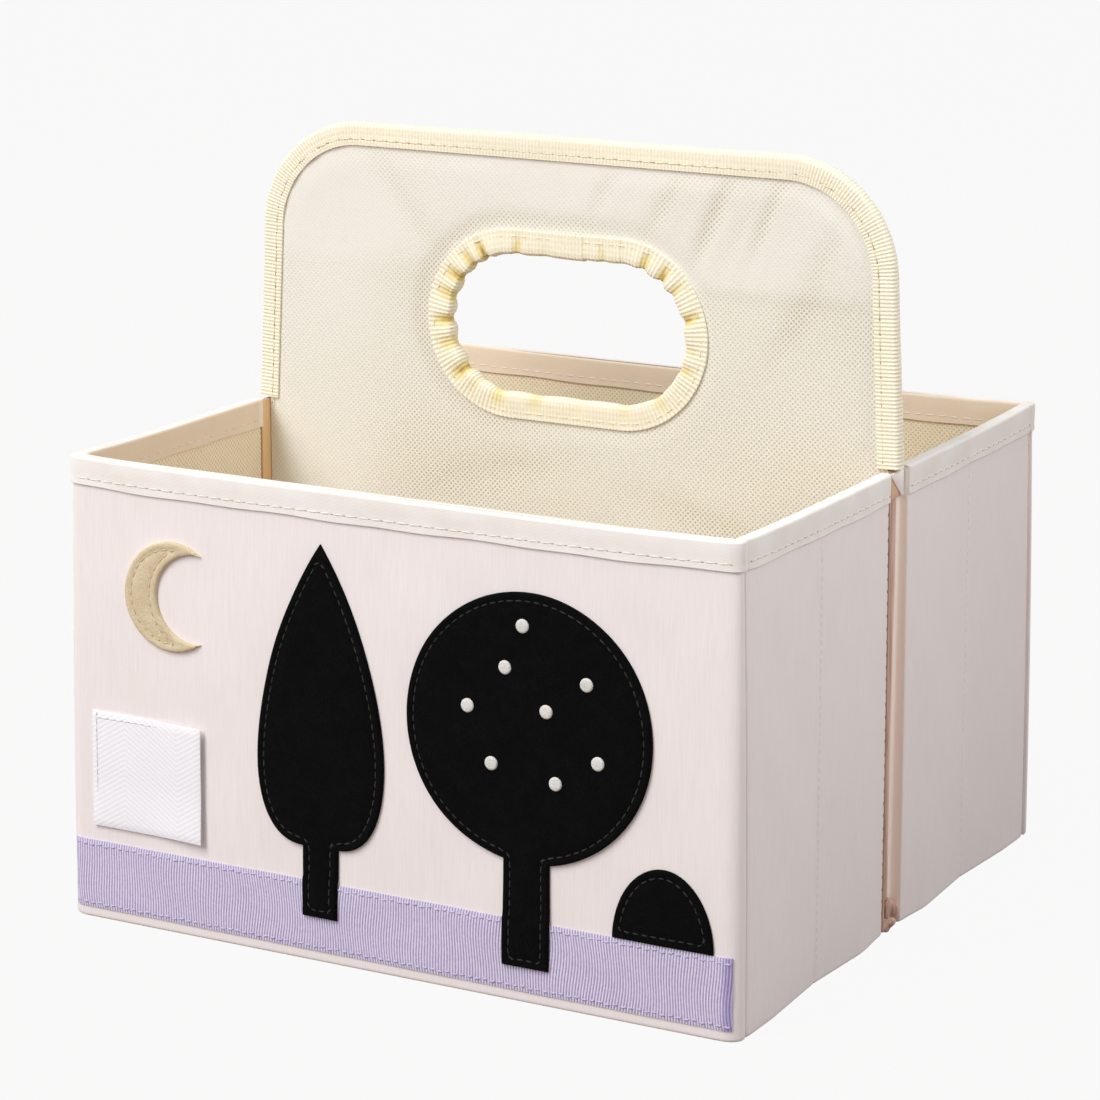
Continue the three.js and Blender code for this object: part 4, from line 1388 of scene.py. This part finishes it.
def tallTreeLoop(low, high):
    trunk, crownFoot, waistZ = tallTree["trunk"], low[2] + tallTree["crownFoot"], low[2] + tallTree["waistRise"]
    x = (low[0] + high[0]) / 2
    t = np.linspace(0, 1, round(tallTree["length"] / feltSize["outline"]))[:, None]
    ends = [(trunk, crownFoot), (tallTree["bulge"], crownFoot), (tallTree["waist"], waistZ), (0, high[2])]
    curve = sum(np.array(p) * math.comb(3, i) * t ** i * (1 - t) ** (3 - i) for i, p in enumerate(ends))
    return treeLoop(np.concatenate([curve, (curve * (-1, 1))[-2::-1]]) + (x, 0), x, trunk, low[2])


def moonLoop(low, high):
    outer, inner, shift = moon["outer"], moon["inner"], moon["shift"]
    x, z = low[0] + outer, (low[2] + high[2]) / 2
    tipX = (shift ** 2 + outer ** 2 - inner ** 2) / (2 * shift)
    tipZ = math.sqrt(outer ** 2 - tipX ** 2)
    first, second = (math.degrees(math.atan2(tipZ, tipX - k)) for k in (0, shift))
    rim = arc((x, z), outer, first, 360 - first, moon["rimSteps"])
    hollow = arc((x + shift, z), inner, 360 - second, second, moon["hollowSteps"])
    return np.concatenate([rim[:-1], hollow[:-1]])


def bushLoop(low, high):
    turn = np.linspace(0, math.pi, 34)
    dome = stacked((low[0] + high[0]) / 2 + (high[0] - low[0]) / 2 * np.cos(turn),
                   low[2] + (high[2] - low[2]) * np.sin(turn))
    return np.concatenate([dome[:-1], path([dome[-1], dome[0]], feltSize["outline"])])


felts = {  # outline, finish, thread and slot, and whether the ribbon runs under it
    "round_tree": (roundTreeLoop, "blackFelt", "blackThread", "black_felt", True),
    "tall_tree": (tallTreeLoop, "blackFelt", "blackThread", "black_felt", True),
    "moon": (moonLoop, "tanFelt", "tanThread", "tan_felt", False),
    "bush": (bushLoop, "blackFelt", "blackThread", "black_felt", False),
}


def feltSeat(flat, overRibbon, seat=0.0):  # how far a felt piece's back stands off the wall
    step, top = feltSize["overRibbon"] * overRibbon, ribbonHigh[2]
    return trimSeat + seat + step * ease(top + feltSize["ribbonStep"], top, flat[:, 1])


def addFelt(name, loop, finish, insets, thick, overRibbon=False, seat=0.0, dent=0.0):
    def face(flat, gap):
        edge = np.clip(gap / feltSize["round"], 0, 1)
        sewn = dent * hump(gap - feltSize["stitchInset"], feltSize["dentWidth"])
        rise = thick * (0.45 + 0.55 * np.sqrt(1 - (1 - edge) ** 2))
        return onWall(*flat.T, feltSeat(flat, overRibbon, seat) + rise - sewn)

    def rear(flat, gap):
        return onWall(*flat.T, feltSeat(flat, overRibbon, seat))
    return addPlate(name, [loop], feltSize["pitch"], insets, face, rear, finish)


def makeFelts():
    thick, dent = feltSize["thick"], feltSize["dent"]
    for key, (outline, finish, thread, slot, overRibbon) in felts.items():
        name, node = f"cut_felt_{key}", f"felt_{key}"
        loop = outline(*nodeBox(node))
        piece = addFelt(name, loop, finish, feltSize["insets"], thick, overRibbon, dent=dent)
        rides(piece, "front_wall", slot, node)
        ring = insetRing(loop, feltSize["stitchInset"], [loop], feltSize["stitchKeep"])
        line = np.concatenate([ring, ring[:1]])
        out = feltSeat(line, overRibbon) + thick - dent + 0.05
        addStitches(f"{name}_stitches", [onWall(*line.T, out)], thread, "front_wall", slot,
                    feltSize["stitchPitch"], feltSize["stitchThick"])
    low, high = nodeBox("felt_round_tree")
    x, z = (low[0] + high[0]) / 2, high[2] - dot["down"]
    steps = max(10, round(2 * math.pi * dot["radius"]))
    for i, (across, up) in enumerate(dot["places"]):
        loop = arc((x + across, z + up), dot["radius"], 0, 360, steps)[:-1]
        piece = addFelt(f"white_dot_{i}", loop, "whiteFelt", dot["insets"], dot["thick"], seat=dot["seat"])
        rides(piece, "front_wall", "label")


makeBands()
makeFelts()
print("trim laid")


# Stitching
seam = {
    "rim": 2.8, "wallEnd": 6, "leafEnd": 4.5, "sink": 0.14,
    "creaseGap": 1.1, "creasePitch": 3.4, "creaseThick": 0.4, "creaseClear": 2.2,
    "grooveEdge": 1.2, "groovePitch": 4.8,
    "ribbon": 1.8, "ribbonThick": 0.75, "ribbonWeave": 0.35, "label": 2.2, "labelThick": 0.5, "trimPitch": 3.2,
    "webbing": 2.4, "webbingThick": 0.5, "webbingStep": 12,
}


def stitchRim(stretch, body, s):  # outside and inside, with dark dots of painted shade in the holes on the outside
    z = tapeFoot + seam["rim"] + stretch.rimRise(s)
    proud = tapeShape["proud"] - seam["sink"]
    lines = [stretch.world(s, out, z) for out in (proud, -liningShape["inner"] - proud)]
    addStitches(f"{body}_rim_stitches", lines, "creamThread", body, "rim_tape")
    addHoleShades(f"{body}_rim_holes", lines[:1], "stitchHoleShade", body, "rim_tape")


def stitchWalls():
    for stretch in walls.values():
        half = stretch.length / 2 - seam["wallEnd"]
        stitchRim(stretch, *stretch.bodies, np.linspace(-half, half, 40))
    rise = np.linspace(7, tapeFoot - 2, 60)
    for (binName, _), stretch in sides.items():
        groove, half, body = stretch.grooveWay, stretch.length / 2, stretch.bodies[0]
        for leaf, way in zip(stretch.bodies, (groove, -groove)):
            ends = stretch.crease + way * seam["creaseClear"], way * (half - seam["leafEnd"])
            stitchRim(stretch, leaf, np.linspace(*ends, 24))
        s = np.full_like(rise, stretch.crease + groove * seam["creaseGap"])
        line = stretch.world(s, stretch.surface(s, rise) - 0.08, rise)
        addStitches(f"{body}_crease_stitches", [line], "blushThread", body, "canvas",
                    seam["creasePitch"], seam["creaseThick"])
        if binName == "front":
            s = np.full_like(rise, groove * (half - seam["grooveEdge"]))
            line = stretch.world(s, leafEdge(stretch, s, rise) - 0.05, rise)
            addHoleShades(f"{body}_groove_holes", [line], "seamHoleShade", body, "canvas", seam["groovePitch"])


def stitchTrim():
    x = np.linspace(ribbonLow[0] + 1.0, ribbonHigh[0] - 1.0, 120)
    out = trimSeat + ribbonHigh[1] - ribbonLow[1]
    for i, z in enumerate((ribbonLow[2] + seam["ribbon"], ribbonHigh[2] - seam["ribbon"])):
        line = onWall(x, z + seam["ribbonWeave"] * np.sin(x * 1.9), out)
        addStitches(f"ribbon_stitches_{i}", [line], "lilacThread", "front_wall", "ribbon",
                    seam["trimPitch"], seam["ribbonThick"])
    low, high, inset = labelLow, labelHigh, seam["label"]
    out = trimSeat + high[1] - low[1]
    z, x = np.linspace(low[2] + 2, high[2] - 2.4, 20), np.linspace(low[0] + inset, high[0] - 12, 20)
    lines = [onWall(np.full_like(z, low[0] + inset), z, out), onWall(x, np.full_like(x, high[2] - inset), out)]
    addStitches("label_stitches", lines, "whiteThread", "front_wall", "label",
                seam["trimPitch"], seam["labelThick"])
    addHoleShades("label_holes", lines, "labelHoleShade", "front_wall", "label", seam["trimPitch"])


def stitchWebbing():
    for name, stations, fold, drop in (("edge", edgeStations(), webFold, webbing["drop"]),
                                       ("opening", openStations(), 0, webbing["openDrop"])):
        places, outs = (group[::seam["webbingStep"]] for group in stations)
        x, z = (places + (fold - drop + seam["webbing"]) * outs).T
        lines = [stacked(x, side * webbing["face"], z) for side in (-1, 1)]
        addStitches(f"{name}_binding_stitches", lines, "yellowThread", "divider", "webbing",
                    thickness=seam["webbingThick"])
        if name == "edge":
            addHoleShades(f"{name}_binding_holes", lines, "stitchHoleShade", "divider", "webbing")


stitchWalls()
stitchTrim()
stitchWebbing()
print("stitching done")


# Boards stay as they are in the frame and get a board finish
for node, thing in frame["nodes"].items():
    if node.endswith("_board"):
        thing.data.materials.clear()
        thing.data.materials.append(finishes["board"])


# Stage, light and finish
stageLook = {"floor": "897c76", "roughness": 0.9, "white": 0.93, "sky": 0.5, "half": 6000}
lampAim = (0, 0, 0.12)
lamps = {  # place and width in metres
    "key_lamp": {"place": (-0.8, -1.8, 1.35), "size": 0.9, "power": 16.9},
    "top_lamp": {"place": (-0.75, -1.3, 2.0), "size": 0.9, "power": 25.9},
    "fill_lamp": {"place": (0.55, -0.08, 0.46), "size": 0.4, "power": 1.0},
    "back_lamp": {"place": (0.3, 1.6, 1.0), "size": 0.8, "power": 3.5},
}


def backdropRays(start):  # 1 where the camera, a mirror or glass looks at the backdrop
    kinds = ("Camera", "Glossy", "Transmission")
    rays = [start.node("ShaderNodeLightPath", output=f"Is {kind} Ray") for kind in kinds]
    return start.math("MINIMUM", rays[0] + rays[1] + rays[2], 1.0)


def makeStage():
    bpy.context.scene.view_settings.view_transform = "Standard"
    world = bpy.data.worlds.new("studio")
    bpy.context.scene.world = world
    world.use_nodes = True
    ground = world.node_tree.nodes["Background"]
    strength = backdropRays(Sock(world.node_tree)) * (1 - stageLook["sky"]) + stageLook["sky"]
    world.node_tree.links.new(strength.socket, ground.inputs["Strength"])
    ground.inputs["Color"].default_value = (1, 1, 1, 1)

    material, start = newFinish("studio_floor")
    dress(material, tint(stageLook["floor"]), None, stageLook["roughness"])
    nodes = material.node_tree.nodes
    plain = Sock(start.tree, nodes["Principled BSDF"].outputs[0])
    glow = start.node("ShaderNodeEmission", inputs={"Color": (1, 1, 1, 1), "Strength": 1.0})
    white = backdropRays(start) * stageLook["white"]
    mixed = start.node("ShaderNodeMixShader", inputs={0: white, 1: plain, 2: glow})
    start.tree.links.new(mixed.socket, nodes["Material Output"].inputs["Surface"])
    finishes["floor"] = material
    half = stageLook["half"]
    corners = [(-half, -half, 0), (half, -half, 0), (half, half, 0), (-half, half, 0)]
    addMesh("floor", corners, [(0, 1, 2, 3)], "floor")


def addLamp(name, place, size, power):
    data = bpy.data.lights.new(name, "AREA")
    data.shape, data.size, data.energy = "DISK", size, power
    lamp = addObject(name, data)
    lamp.location = place
    lamp.visible_camera = False
    lamp.rotation_euler = (Vector(lampAim) - Vector(place)).to_track_quat("-Z", "Y").to_euler()


makeStage()
for name, look in lamps.items():
    addLamp(name, **look)
print("stage lit:", len(lamps), "lamps")
